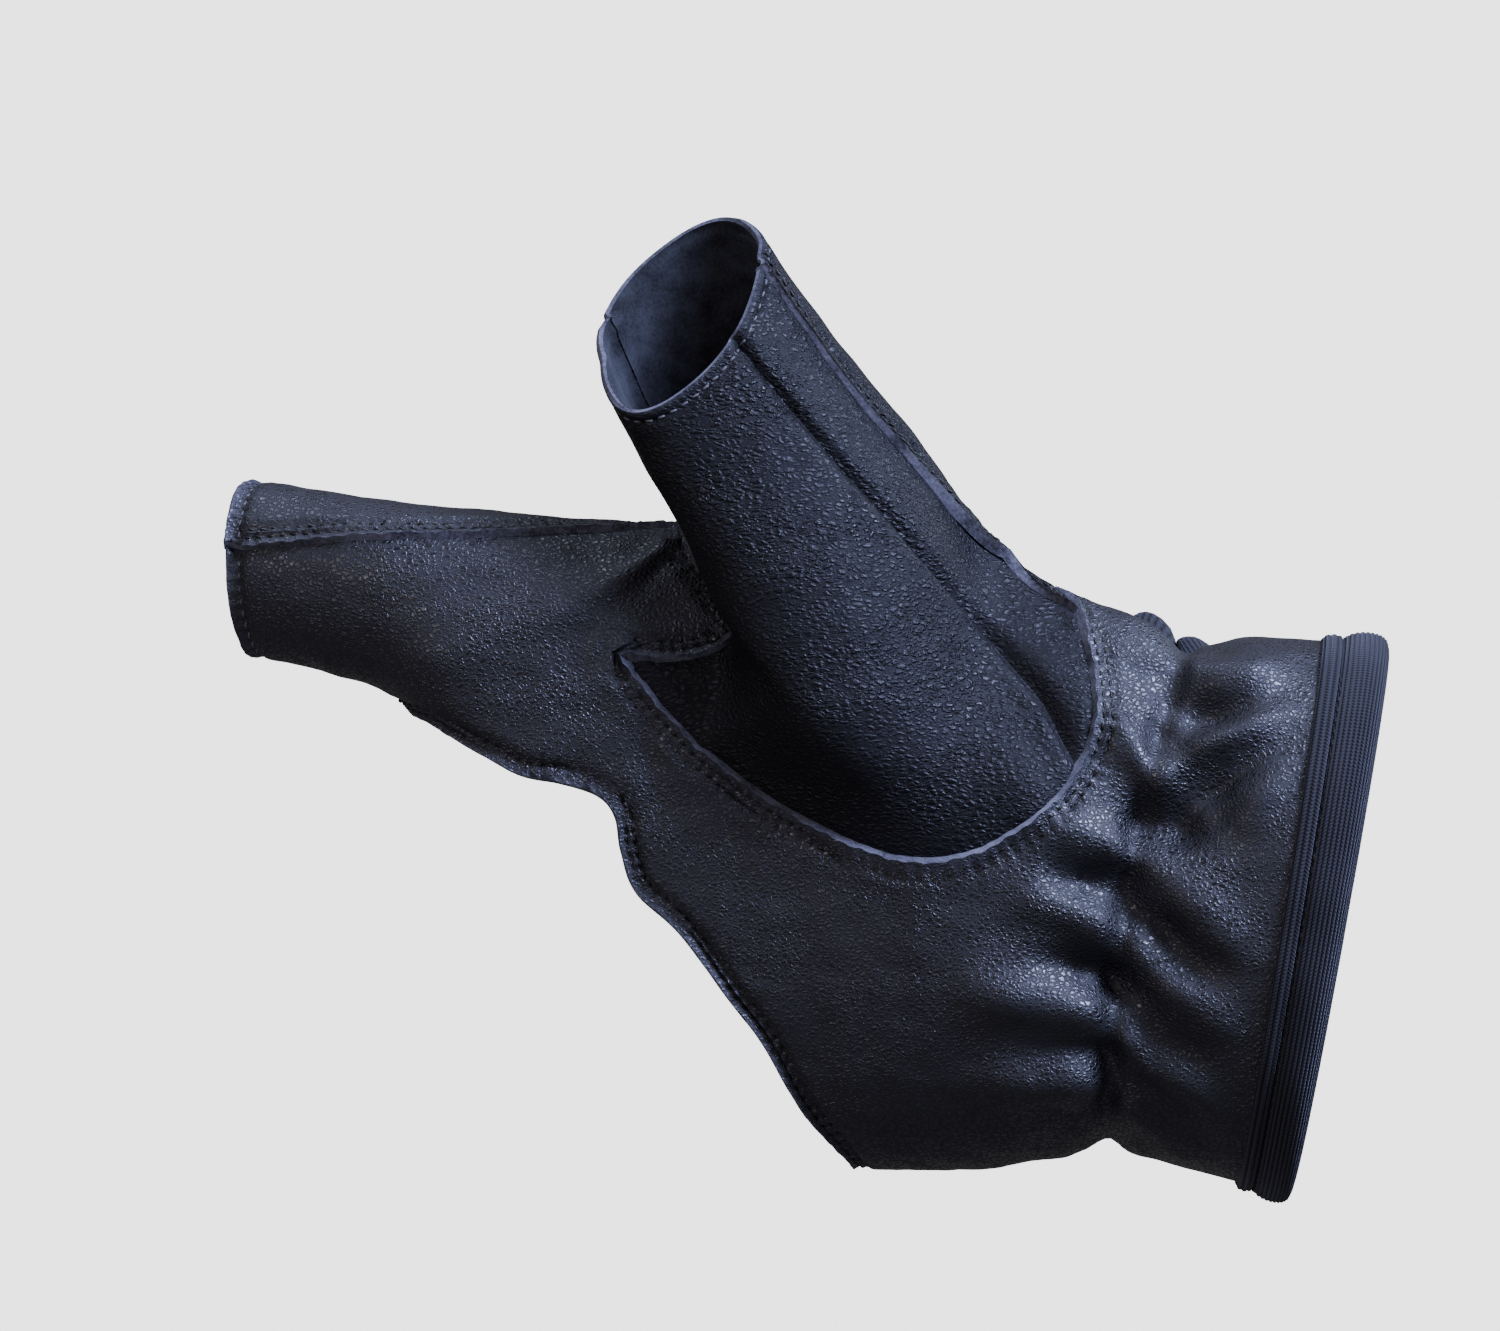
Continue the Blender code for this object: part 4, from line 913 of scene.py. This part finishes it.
class LeatherPanel:  # a panel with thickness, from its outline of (kind, line) parts
    def __init__(self, name, parts, unevenness=panelLook["unevenness"]):
        self.name, self.unevenness = name, unevenness
        self.parts = [(kind, line, foldedForm(line[:, 0], line[:, 1])) for kind, line in parts]
        self.outline = joined(*[line for _, line in parts])

    def at(self, spots):  # points, normals, heights and edge values at (s, phi)
        base = foldedForm(spots[:, 0], spots[:, 1])
        normals = foldedNormal(spots[:, 0], spots[:, 1])
        height = waves(base, panelLook["broad"], 5) * self.unevenness
        height = height + waves(base, panelLook["close"], 9) * self.unevenness * 0.45
        edge = {key: np.full(len(spots), 0.0003) for key in ("in", "out", "down", "raw")}
        worn = np.zeros(len(spots))
        nearest = np.full(len(spots), 1.0)
        for kind, _, line in self.parts:
            away, gone = nearLine(base, line)
            height = height + profile(kind, away, gone)
            closer = away < nearest - 1e-7
            nearest = np.where(closer, away, nearest)
            ragged = 1 + 0.22 * np.sin(gone * 2100) + 0.18 * np.sin(gone * 830 + 1)
            if edgeLook[kind]["worn"]:
                worn = np.maximum(worn, np.exp(-((away / edgeLook[kind]["worn"]) ** 2)))
            for key in edge:
                edge[key] = np.where(closer, edgeLook[kind][key] * (ragged if key == "in" else 1), edge[key])
        edge["worn"] = worn
        return base, normals, height, edge

    def build(self, node):
        spots, faces = filled(self.outline, panelLook["rows"], panelLook["mesh"])
        base, normals, height, edge = self.at(spots)
        s = find(np.stack([base[:, 0] / reach, base[:, 2] / reach, np.ones(len(base))], -1))[:, 0]
        top, bottom, _, _ = station(s)
        faces = facingOut(base, faces, ((top + bottom) / 2)[faces[:, 0]])
        obj = shell(self.name, base, normals, faces, height, edge, [bodyLeather, suede, rawEdge])
        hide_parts(node)
        print(self.name, len(obj.data.polygons), "faces")

    def seamRows(self, kinds):  # the lines of thread beside its edges
        laid = flat(self.outline)
        turnedIn = 1 if np.cross(laid, np.roll(laid, -1, axis=0)).sum() > 0 else -1
        found = []
        for kind, line, _ in self.parts:
            if kind not in kinds:
                continue
            for row in edgeLook[kind]["rows"]:
                spread = flat(line)
                way = unit(np.gradient(spread, axis=0))
                moved = spread + np.stack([-way[:, 1], way[:, 0]], -1) * turnedIn * row
                edgePoints = foldedForm(line[:, 0], line[:, 1])
                for _ in range(3):  # the flat layout stretches, so each point is moved to its true distance
                    spots = unflat(moved)
                    p = foldedForm(spots[:, 0], spots[:, 1])
                    true = np.linalg.norm(p - edgePoints, axis=1)
                    moved = spread + (moved - spread) * (row / np.maximum(true, 1e-5))[:, None]
                spots = unflat(moved)
                clear = nearLine(moved, np.vstack([laid, laid[:1]]))[0] > row * 0.45
                spots = spots[inside(moved, laid) & clear]
                if len(spots) < 4:
                    continue
                base, normals, height, _ = self.at(spots)
                points = base + normals * height[:, None]
                gaps = np.linalg.norm(np.diff(points, axis=0), axis=1) > 0.004
                for part in np.split(np.arange(len(points)), np.nonzero(gaps)[0] + 1):
                    if len(part) > 3:
                        found.append((points[part], normals[part]))
        return found


gussetLook = {
    "high": (-0.050, 0.40), "low": (0.165, 0.39),  # its ends, x and z
    "turn": 150.0, "mesh": 0.0008,
    "puffs": (  # x, turn, rise, breadth
        (0.018, 113, 0.070, 0.044), (0.106, 112, 0.052, 0.034), (0.060, 130, 0.022, 0.036),
    ),
}

# Lines that the panels share
step = panelLook["step"]
cuffS = float(np.interp(0.0016, travel, fineRows))
indexCorner = np.array([lastRow, find(indexSeam[:1])[0, 1]])
webCorner = np.array([find([(-1.176, 0.300, -1)])[0, 0], turns["under"] + 360.0])
hemCornerS = find([(-0.440, -0.440, 1)])[0, 0]
hemPalm, hemBack = np.array([hemCornerS, turns["heel"]]), np.array([hemCornerS, turns["heel"] + 360.0])
wristPoint, webPoint = seatAt(np.array(wristTheta)), seatAt(np.array(webTheta))
gussetHigh, gussetLow = find([(*gussetLook["high"], -1), (*gussetLook["low"], -1)])[:, 0]
seamLine = curve(np.vstack([indexCorner, find(indexSeam[1:]), webPoint]), step)
crossStart, crossEnd = seatAt(np.array(crossAngles[0])), seatAt(np.array(crossAngles[1]))
lowerLine = curve(np.vstack([crossStart, find(leafLower)]), step)
upperLine = curve(np.vstack([lowerLine[-1], find(leafUpper[:-1]), crossEnd]), step)
palmHemLine = curve(np.vstack([webCorner - (0, 360), find(palmHem[1:]), hemPalm]), step)
backHemLine = curve(np.vstack([webCorner, find(backHem), hemBack]), step)
gussetSide = gussetLook["turn"] * 0.75 + turns["wrist"] * 0.25
gussetLine = curve(np.array([
    (gussetLow, turns["wrist"]), (gussetLow * 0.82 + gussetHigh * 0.18, gussetSide),
    ((gussetLow + gussetHigh) / 2, gussetLook["turn"]), (gussetLow * 0.18 + gussetHigh * 0.82, gussetSide),
    (gussetHigh, turns["wrist"]),
]), step)
wristLine = lengthLine(turns["wrist"], cuffS, gussetLow, step)
gussetTop = lengthLine(turns["wrist"], gussetLow, gussetHigh, step)
wristEnd = straight((gussetHigh, turns["wrist"]), wristPoint, step)

palm = LeatherPanel("palmLeather", [
    ("bound", ringLine(cuffS, turns["heel"], turns["wrist"], step)),
    ("sewn", np.vstack([wristLine, gussetTop, wristEnd])),
    ("lap", np.vstack([seatPart(wristTheta, crossAngles[0] + 360, step), lowerLine])),
    ("lap", np.vstack([upperLine, seatPart(crossAngles[1], webTheta, step)])),
    ("tuck", seamLine[::-1]),
    ("tip", ringLine(lastRow, indexCorner[1], turns["under"], step)),
    ("sewn", lengthLine(turns["under"], lastRow, webCorner[0], step)),
    ("hem", palmHemLine),
    ("sewn", lengthLine(turns["heel"], hemCornerS, cuffS, step)),
])
palm.build("palm_panel")
stitches("palmStitches", palm.seamRows(("lap", "hem")))
stitches("palmTipStitches", palm.seamRows(("tip",)), greyThread)

back = LeatherPanel("backLeather", [
    ("bound", ringLine(cuffS, turns["heel"] + 360, turns["wrist"], step)),
    ("sewn", wristLine),
    ("sewn", gussetLine),
    ("sewn", wristEnd),
    ("lap", seatPart(webTheta, wristTheta, step)[::-1]),
    ("lap", seamLine[::-1]),
    ("tip", ringLine(lastRow, indexCorner[1], turns["under"] + 360, step)),
    ("sewn", lengthLine(turns["under"] + 360, lastRow, webCorner[0], step)),
    ("hem", backHemLine),
    ("sewn", lengthLine(turns["heel"] + 360, hemCornerS, cuffS, step)),
])
back.build("back_panel")
stitches("backStitches", back.seamRows(("lap", "hem")))
stitches("backTipStitches", back.seamRows(("tip",)), greyThread)

# Knit gusset behind the thumb side of the wrist

def puffed(spots):
    x = plainForm(spots[:, 0], spots[:, 1])[:, 0] / reach
    rise = 0 * x
    fromSeam = np.clip((spots[:, 1] - turns["wrist"]) / 9, 0, 1)
    for along, turn, puff, breadth in gussetLook["puffs"]:
        away = np.hypot(x - along, np.radians(spots[:, 1] - turn) * radius(spots[:, 0]) / reach)
        rise = rise + puff * np.exp(-((away / breadth) ** 3)) * fromSeam
    return rise * reach


def knitUv(obj, spots):
    layer = obj.data.uv_layers.new(name="knit")
    index = np.empty(len(obj.data.loops), np.int32)
    obj.data.loops.foreach_get("vertex_index", index)
    layer.data.foreach_set("uv", spots[index].ravel())


gusset = LeatherPanel("wristGusset", [("sewn", gussetTop), ("sewn", gussetLine[::-1])], 0)
spots, faces = filled(gusset.outline, (), gussetLook["mesh"])
base, normals, height, edge = gusset.at(spots)
height = height + puffed(spots)
faces = facingOut(base, faces, np.array([0.006, 0, 0]))
gussetObj = shell("wristGusset", base, normals, faces, height, edge, [knitCloth, knitCloth, knitCloth])
laid = flat(spots)[:, ::-1]  # the wales run lengthwise
extra = len(gussetObj.data.vertices) - 2 * len(laid)
knitUv(gussetObj, np.vstack([laid, laid, np.zeros((extra, 2))]))
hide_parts("wrist_gusset")
print("gusset ready")

# Thumb

thumbLook = {
    "rows": 92, "unevenness": 0.00016,
    "hemRow": 0.0022, "hemBreadth": 0.00045,  # the line of thread below the opening
    "standOff": 0.0011, "standAt": 3.9,       # the back's lap stands off where the thumb bends into the wrist
}
creaseLook = {  # how deep each side of the closed seam goes in, over what breadth, and the roll beside it
    "rolled": {"depth": 0.0011, "breadth": 0.0008, "roll": 0.00014, "at": 0.0028},
    "tucked": {"depth": 0.0014, "breadth": 0.0014, "roll": 0.00006, "at": 0.0045},
}


def columns(width, fineStart, fineEnd):  # shares from 0 to 1, closer near a seam
    rows = np.array([0, 0.35, 0.7, 1.1, 1.55, 2.1, 2.8, 3.6]) * 0.001 / width
    low = rows if fineStart else np.array([0])
    high = 1 - rows[::-1] if fineEnd else np.array([1])
    middle = np.linspace(low[-1], high[0], max(2, round((high[0] - low[-1]) * width / 0.00105) + 1))
    return np.concatenate([low, middle[1:-1], high])


def between(starts, ends, shares):  # angles of a grid from one side seam to the other
    return lambda t: starts(t)[:, None] + (ends(t) - starts(t))[:, None] * shares


def gridPanel(name, node, kinds, thetaAt, leaf=None):  # leaf is which columns are seated, and what adds it
    nearRim = np.array([0, 0.004, 0.009, 0.015, 0.022])
    t = 5 * np.concatenate([nearRim, np.linspace(0.03, 1, thumbLook["rows"]) ** 0.97])
    theta = thetaAt(t)
    base = thumb(t[:, None], theta)
    across, along = np.gradient(base, axis=1), np.gradient(base, axis=0)
    normals = unit(np.cross(across, along))
    seatSpots = seatAt(theta[-1])
    normals[-1] = foldedNormal(seatSpots[:, 0], seatSpots[:, 1])
    half = len(t) // 2
    if (normals[half] * (base[half] - base[half].mean(0))).sum() < 0:
        normals[:-1] *= -1
    step = np.linalg.norm(np.diff(base, axis=1), axis=-1)
    fromStart = np.concatenate([np.zeros((len(t), 1)), np.cumsum(step, 1)], 1)
    fromEnd = fromStart[:, -1:] - fromStart
    down = np.linalg.norm(np.diff(base, axis=0), axis=-1)
    fromRim = np.concatenate([np.zeros((1, theta.shape[1])), np.cumsum(down, 0)], 0)
    fromSeat = fromRim[-1:] - fromRim
    height = waves(base, 0.013, 21) * thumbLook["unevenness"]
    edge = {key: np.full(base.shape[:2], 0.0002) for key in ("in", "out", "down", "raw")}
    edge["raw"][:] = 0
    edge["worn"] = np.exp(-((fromRim / 0.0006) ** 2))
    for kind, away in ((kinds[0], fromStart), (kinds[1], fromEnd)):
        if kind in creaseLook:
            seam = creaseLook[kind]
            wider = 1 if kind == "rolled" else 0.75 + 1.1 * (t[:, None] / 5) ** 2
            shallow = 0.35 + 0.65 * smoothStep(fromSeat / 0.004)
            height -= seam["depth"] * shallow * np.exp(-((away / (seam["breadth"] * wider)) ** 2))
            height += seam["roll"] * np.exp(-(((away - seam["at"]) / 0.0014) ** 2))
        else:
            height += profile(kind, away, fromRim)
            if kind == "lap":
                stand = np.exp(-(((t[:, None] - thumbLook["standAt"]) / 0.6) ** 2))
                height += thumbLook["standOff"] * stand * (1 - smoothStep(away / 0.006))
    height -= groove["depth"] * np.exp(-(((fromRim - thumbLook["hemRow"]) / thumbLook["hemBreadth"]) ** 2))
    height -= 0.00025 * np.exp(-((fromRim / 0.0005) ** 2))
    seatMask = leaf[0] if leaf else 1
    height -= 0.0003 * np.exp(-((fromSeat / 0.0012) ** 2)) * seatMask
    for column, kind in ((0, kinds[0]), (-1, kinds[1])):
        if kind in edgeLook:
            for key in ("in", "out", "down", "raw"):
                edge[key][:, column] = edgeLook[kind][key]
    for key, value in (("in", 0.0003), ("out", 0.0001), ("down", 0.0006), ("raw", 1)):
        edge[key][0] = value
    high, wide = theta.shape
    index = np.arange(high * wide).reshape(high, wide)
    a, b, c, d = index[:-1, :-1], index[:-1, 1:], index[1:, 1:], index[1:, :-1]
    flip = (np.add.outer(np.arange(high - 1), np.arange(wide - 1)) % 2 == 0)[..., None]
    one = np.where(flip, np.stack([a, b, c], -1), np.stack([a, b, d], -1)).reshape(-1, 3)
    two = np.where(flip, np.stack([a, c, d], -1), np.stack([b, c, d], -1)).reshape(-1, 3)
    faces = np.vstack([one, two])
    points, flatNormals = base.reshape(-1, 3), normals.reshape(-1, 3)
    if (meshNormals(points, faces) * flatNormals).sum() < 0:
        faces = faces[:, ::-1]
    height, edge = height.ravel(), {key: value.ravel() for key, value in edge.items()}
    finished = (base + normals * height.reshape(high, wide)[..., None]), normals
    if leaf:
        points, flatNormals, faces, height, edge = leaf[1](points, flatNormals, faces, height, edge)
    obj = shell(name, points, flatNormals, faces, height, edge, [thumbLeather, suede, rawEdge])
    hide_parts(node)
    print(name, len(obj.data.polygons), "faces")
    return finished


def threadRow(grid, depth):  # a line of thread at one distance from the first row of a grid
    points, normals = grid
    step = np.linalg.norm(np.diff(points, axis=0), axis=-1)
    gone = np.concatenate([np.zeros((1, points.shape[1])), np.cumsum(step, 0)])
    across = range(points.shape[1])
    line, upright = (
        np.array([[np.interp(depth, gone[:, c], rows[:, c, i]) for i in range(3)] for c in across])
        for rows in (points, normals)
    )
    return line, unit(upright)


hidden = turns["thumbHidden"]

# Front, with its pointed leaf under the palm leather
seatColumns = {
    "first": columns(0.030, True, False),
    "cross": np.linspace(0, 1, 17),
    "last": columns(0.018, False, False),
}


def frontTheta(t):
    start = creaseAngle(t)[:, None]
    one = start + (crossAngles[0] - start) * seatColumns["first"]
    two = crossAngles[0] + (crossAngles[1] - crossAngles[0]) * seatColumns["cross"] + 0 * start
    three = crossAngles[1] + (hidden - crossAngles[1]) * seatColumns["last"] + 0 * start
    return np.hstack([one[:, :-1], two[:, :-1], three])


crossSpots = seatAt(crossAngles[0] + (crossAngles[1] - crossAngles[0]) * seatColumns["cross"])
leafOutline = joined(lowerLine, upperLine, crossSpots[::-1])
firstCount = len(seatColumns["first"]) - 1
seated = np.ones(firstCount + len(seatColumns["cross"]) - 1 + len(seatColumns["last"]))
seated[firstCount:firstCount + len(seatColumns["cross"])] = 0


def joinLeaf(points, normals, faces, height, edge):
    spots, triangles = filled(leafOutline, (), 0.0010)
    base = foldedForm(spots[:, 0], spots[:, 1])
    leafNormals = foldedNormal(spots[:, 0], spots[:, 1])
    rim = np.vstack([lowerLine, upperLine])
    away = nearLine(base, foldedForm(rim[:, 0], rim[:, 1]))[0]
    cross = nearLine(base, foldedForm(crossSpots[:, 0], crossSpots[:, 1]))[0]
    rise = -0.0003 * np.exp(-((away / 0.0012) ** 2)) * smoothStep(cross / 0.002)
    triangles = facingOut(base, triangles, base[triangles[:, 0]] - leafNormals[triangles[:, 0]])
    merged = np.vstack([points, base])
    seatRow = len(points) - len(seated) + firstCount + np.arange(len(seatColumns["cross"]))
    remap = np.arange(len(merged))
    for i in np.nonzero(cross < 2e-5)[0]:
        there = np.linalg.norm(points[seatRow] - base[i], axis=1)
        if there.min() < 3e-5:
            remap[len(points) + i] = seatRow[there.argmin()]
    faces = np.vstack([faces, remap[triangles + len(points)]])
    used = np.unique(faces)
    place = np.zeros(len(merged), int)
    place[used] = np.arange(len(used))
    allNormals = np.vstack([normals, leafNormals])
    allHeight = np.concatenate([height, rise])
    allHeight[seatRow] = 0
    edge = {
        key: np.concatenate([value, np.full(len(base), 0 if key in ("raw", "worn") else 0.0002)])[used]
        for key, value in edge.items()
    }
    return merged[used], allNormals[used], place[faces], allHeight[used], edge


front = gridPanel("thumbFront", "thumb_front_panel", ("rolled", "sewn"), frontTheta, (seated, joinLeaf))
stripTheta = between(backSeamAngle, creaseAngle, columns(0.0085, True, True))
strip = gridPanel("thumbStrip", "thumb_side_strip", ("tuck", "tucked"), stripTheta)
rearTheta = between(lambda t: 0 * t + hidden, lambda t: backSeamAngle(t) + 360, columns(0.045, True, True))
rear = gridPanel("thumbBack", "thumb_back_panel", ("sewn", "lap"), rearTheta)
hemThreads = [threadRow(grid, thumbLook["hemRow"]) for grid in (front, strip, rear)]
stitches("thumbHemStitches", hemThreads, greyThread)
fromSide = [rows[:, ::-1].transpose(1, 0, 2) for rows in rear]  # counted from its last side seam
stitches("thumbStitches", [threadRow(fromSide, row) for row in edgeLook["lap"]["rows"]])

# Cuff binding: folded rib-knit tape, as (in from the fold, out from the leather)
bindingLook = {"around": 430, "wale": 0.00066, "waleHeight": 0.00022, "seam": 0.0066, "seamRise": 0.0006}
bindingPath = np.array([
    (8.6, 0.1), (8.75, 0.5), (8.4, 0.95), (7.8, 1.08), (7.2, 0.88), (6.85, 0.42), (6.5, 0.72), (5.9, 1.30),
    (4.7, 1.78), (3.2, 1.92), (1.7, 1.66), (0.5, 0.90), (0.0, -0.45), (0.4, -1.8), (1.6, -2.4), (4.0, -2.6),
    (7.0, -2.5), (8.5, -2.2), (8.5, -1.5),
]) * 0.001
fineAlong = alongRows(bindingPath, np.linspace(0, len(bindingPath) - 1, 800))
gone = np.concatenate([[0], np.cumsum(np.linalg.norm(np.diff(fineAlong, axis=0), axis=1))])
samples = np.arange(0, gone[-1], bindingLook["wale"] / 5)
section = np.stack([np.interp(samples, gone, fineAlong[:, i]) for i in (0, 1)], -1)
way = unit(np.gradient(section, axis=0))
outSide = np.stack([way[:, 1], -way[:, 0]], -1)
rib = np.abs(np.sin(math.pi * samples / bindingLook["wale"])) ** 0.8
section = section + outSide * (rib * bindingLook["waleHeight"])[:, None]
turn = 250 + np.arange(bindingLook["around"]) * 360 / bindingLook["around"]
sUnit = float(np.interp(1.0, fineRows, travel))
points = []
for inset, out in section:
    s = np.full(len(turn), inset / sUnit)
    points.append(foldedForm(s, turn, False) + plainNormal(s, turn) * out)
points = np.array(points).transpose(1, 0, 2)
wobble = waves(points, 0.014, 33) * 0.00018
outwards = plainNormal(np.zeros(len(turn)), turn)
points = points + outwards[:, None] * wobble[..., None]
high, wide = points.shape[:2]
index = np.arange(high * wide).reshape(high, wide)
nextRow = np.roll(index, -1, axis=0)
beside, nextBeside = (np.roll(rows, -1, axis=1) for rows in (index, nextRow))
quads = np.stack([index, beside, nextBeside, nextRow], -1).reshape(-1, 4)
flatPoints = points.reshape(-1, 3)
probe = flatPoints[quads[:, 0]]
facing = np.cross(flatPoints[quads[:, 1]] - probe, flatPoints[quads[:, 3]] - probe)
ringCentre = np.repeat(points.mean(1), wide, axis=0)
if (facing * (probe - ringCentre[quads[:, 0]])).sum() < 0:
    quads = quads[:, ::-1]
binding = makeMesh("cuffBinding", flatPoints, quads, [knitCloth], sharp=0)
ringStep = np.linalg.norm(np.roll(points[:, wide // 2], -1, axis=0) - points[:, wide // 2], axis=1)
ringGone = np.concatenate([[0], np.cumsum(ringStep)[:-1]])
knitUv(binding, np.stack([np.repeat(ringGone, wide), np.tile(samples, high)], -1))
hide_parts("cuff_binding")
seamS = (bindingLook["seam"] / sUnit) + 0 * turn
seamLoop = foldedForm(seamS, turn, False) + plainNormal(seamS, turn) * bindingLook["seamRise"]
seamRow = [np.vstack([loop, loop[:1]]) for loop in (seamLoop, outwards)]
stitches("bindingStitches", [seamRow])
print("binding ready")

# Floor, light and camera

stage = {
    "floor": -0.175, "floorSize": 1.15, "paper": (0.86, 0.87, 0.88),
    "distance": 3.0, "lens": 450, "aim": (-0.0608, 0.0, 0.0352),
}
floorMesh = bpy.data.meshes.new("floor")
corners = [i * math.pi / 32 for i in range(64)]
size = stage["floorSize"]
ring = [(size * math.cos(corner), size * math.sin(corner), stage["floor"]) for corner in corners]
floorMesh.from_pydata(ring, [], [tuple(range(64))])
floor = bpy.data.objects.new("floor", floorMesh)
bpy.context.scene.collection.objects.link(floor)
paper, _, paperShader = newMaterial("paper")
paperShader.inputs["Base Color"].default_value = (*stage["paper"], 1)
paperShader.inputs["Roughness"].default_value = 0.9
floorMesh.materials.append(paper)
floor.visible_diffuse = floor.visible_glossy = False  # no light thrown up at the glove

world = bpy.context.scene.world or bpy.data.worlds.new("studio")
bpy.context.scene.world = world
world.use_nodes = True
world.node_tree.nodes.clear()
sky = Tree(world.node_tree)
seen = sky.node("ShaderNodeBackground", {"Color": (1, 1, 1, 1), "Strength": 3.0})
fill = sky.node("ShaderNodeBackground", {"Color": (1.0, 0.95, 1.0, 1), "Strength": 0.16})
ray = sky.node("ShaderNodeLightPath")
blendValues = {0: ray.outputs["Is Camera Ray"], 1: fill.outputs[0], 2: seen.outputs[0]}
blend = sky.node("ShaderNodeMixShader", blendValues)
sky.node("ShaderNodeOutputWorld", {"Surface": blend.outputs[0]})

lamps = (
    ("keyLamp", (1.10, -0.70, 1.30), 1.2, 66, (0.71, 0.75, 1.0)),
    ("glintLamp", (1.15, -0.80, 1.20), 0.4, 26, (0.62, 0.71, 1.0)),
    ("topLamp", (-0.5, 0.1, 1.6), 0.9, 9, (0.80, 0.86, 1.0)),
    ("sideLamp", (-1.2, -1.3, 0.55), 0.8, 6.5, (1.0, 0.86, 0.78)),
    ("rimLamp", (1.2, 0.9, 0.6), 0.6, 6, (0.75, 0.85, 1.0)),
)
for name, spot, size, watts, colour in lamps:
    light = bpy.data.lights.new(name, "AREA")
    light.shape, light.size, light.energy, light.color = "DISK", size, watts, colour
    lamp = bpy.data.objects.new(name, light)
    lamp.location = spot
    lamp.rotation_euler = (Vector(stage["aim"]) - Vector(spot)).to_track_quat("-Z", "Y").to_euler()
    bpy.context.scene.collection.objects.link(lamp)

cameraData = bpy.data.cameras.new("camera")
cameraData.lens, cameraData.sensor_width, cameraData.sensor_fit = stage["lens"], 36, "HORIZONTAL"
cameraData.clip_start, cameraData.clip_end = 0.1, 20
camera = bpy.data.objects.new("camera", cameraData)
camera.location = Vector(stage["aim"]) - Vector((0, stage["distance"], 0))
camera.rotation_euler = (math.radians(90), 0, 0)
bpy.context.scene.collection.objects.link(camera)
bpy.context.scene.camera = camera

print("scene ready")
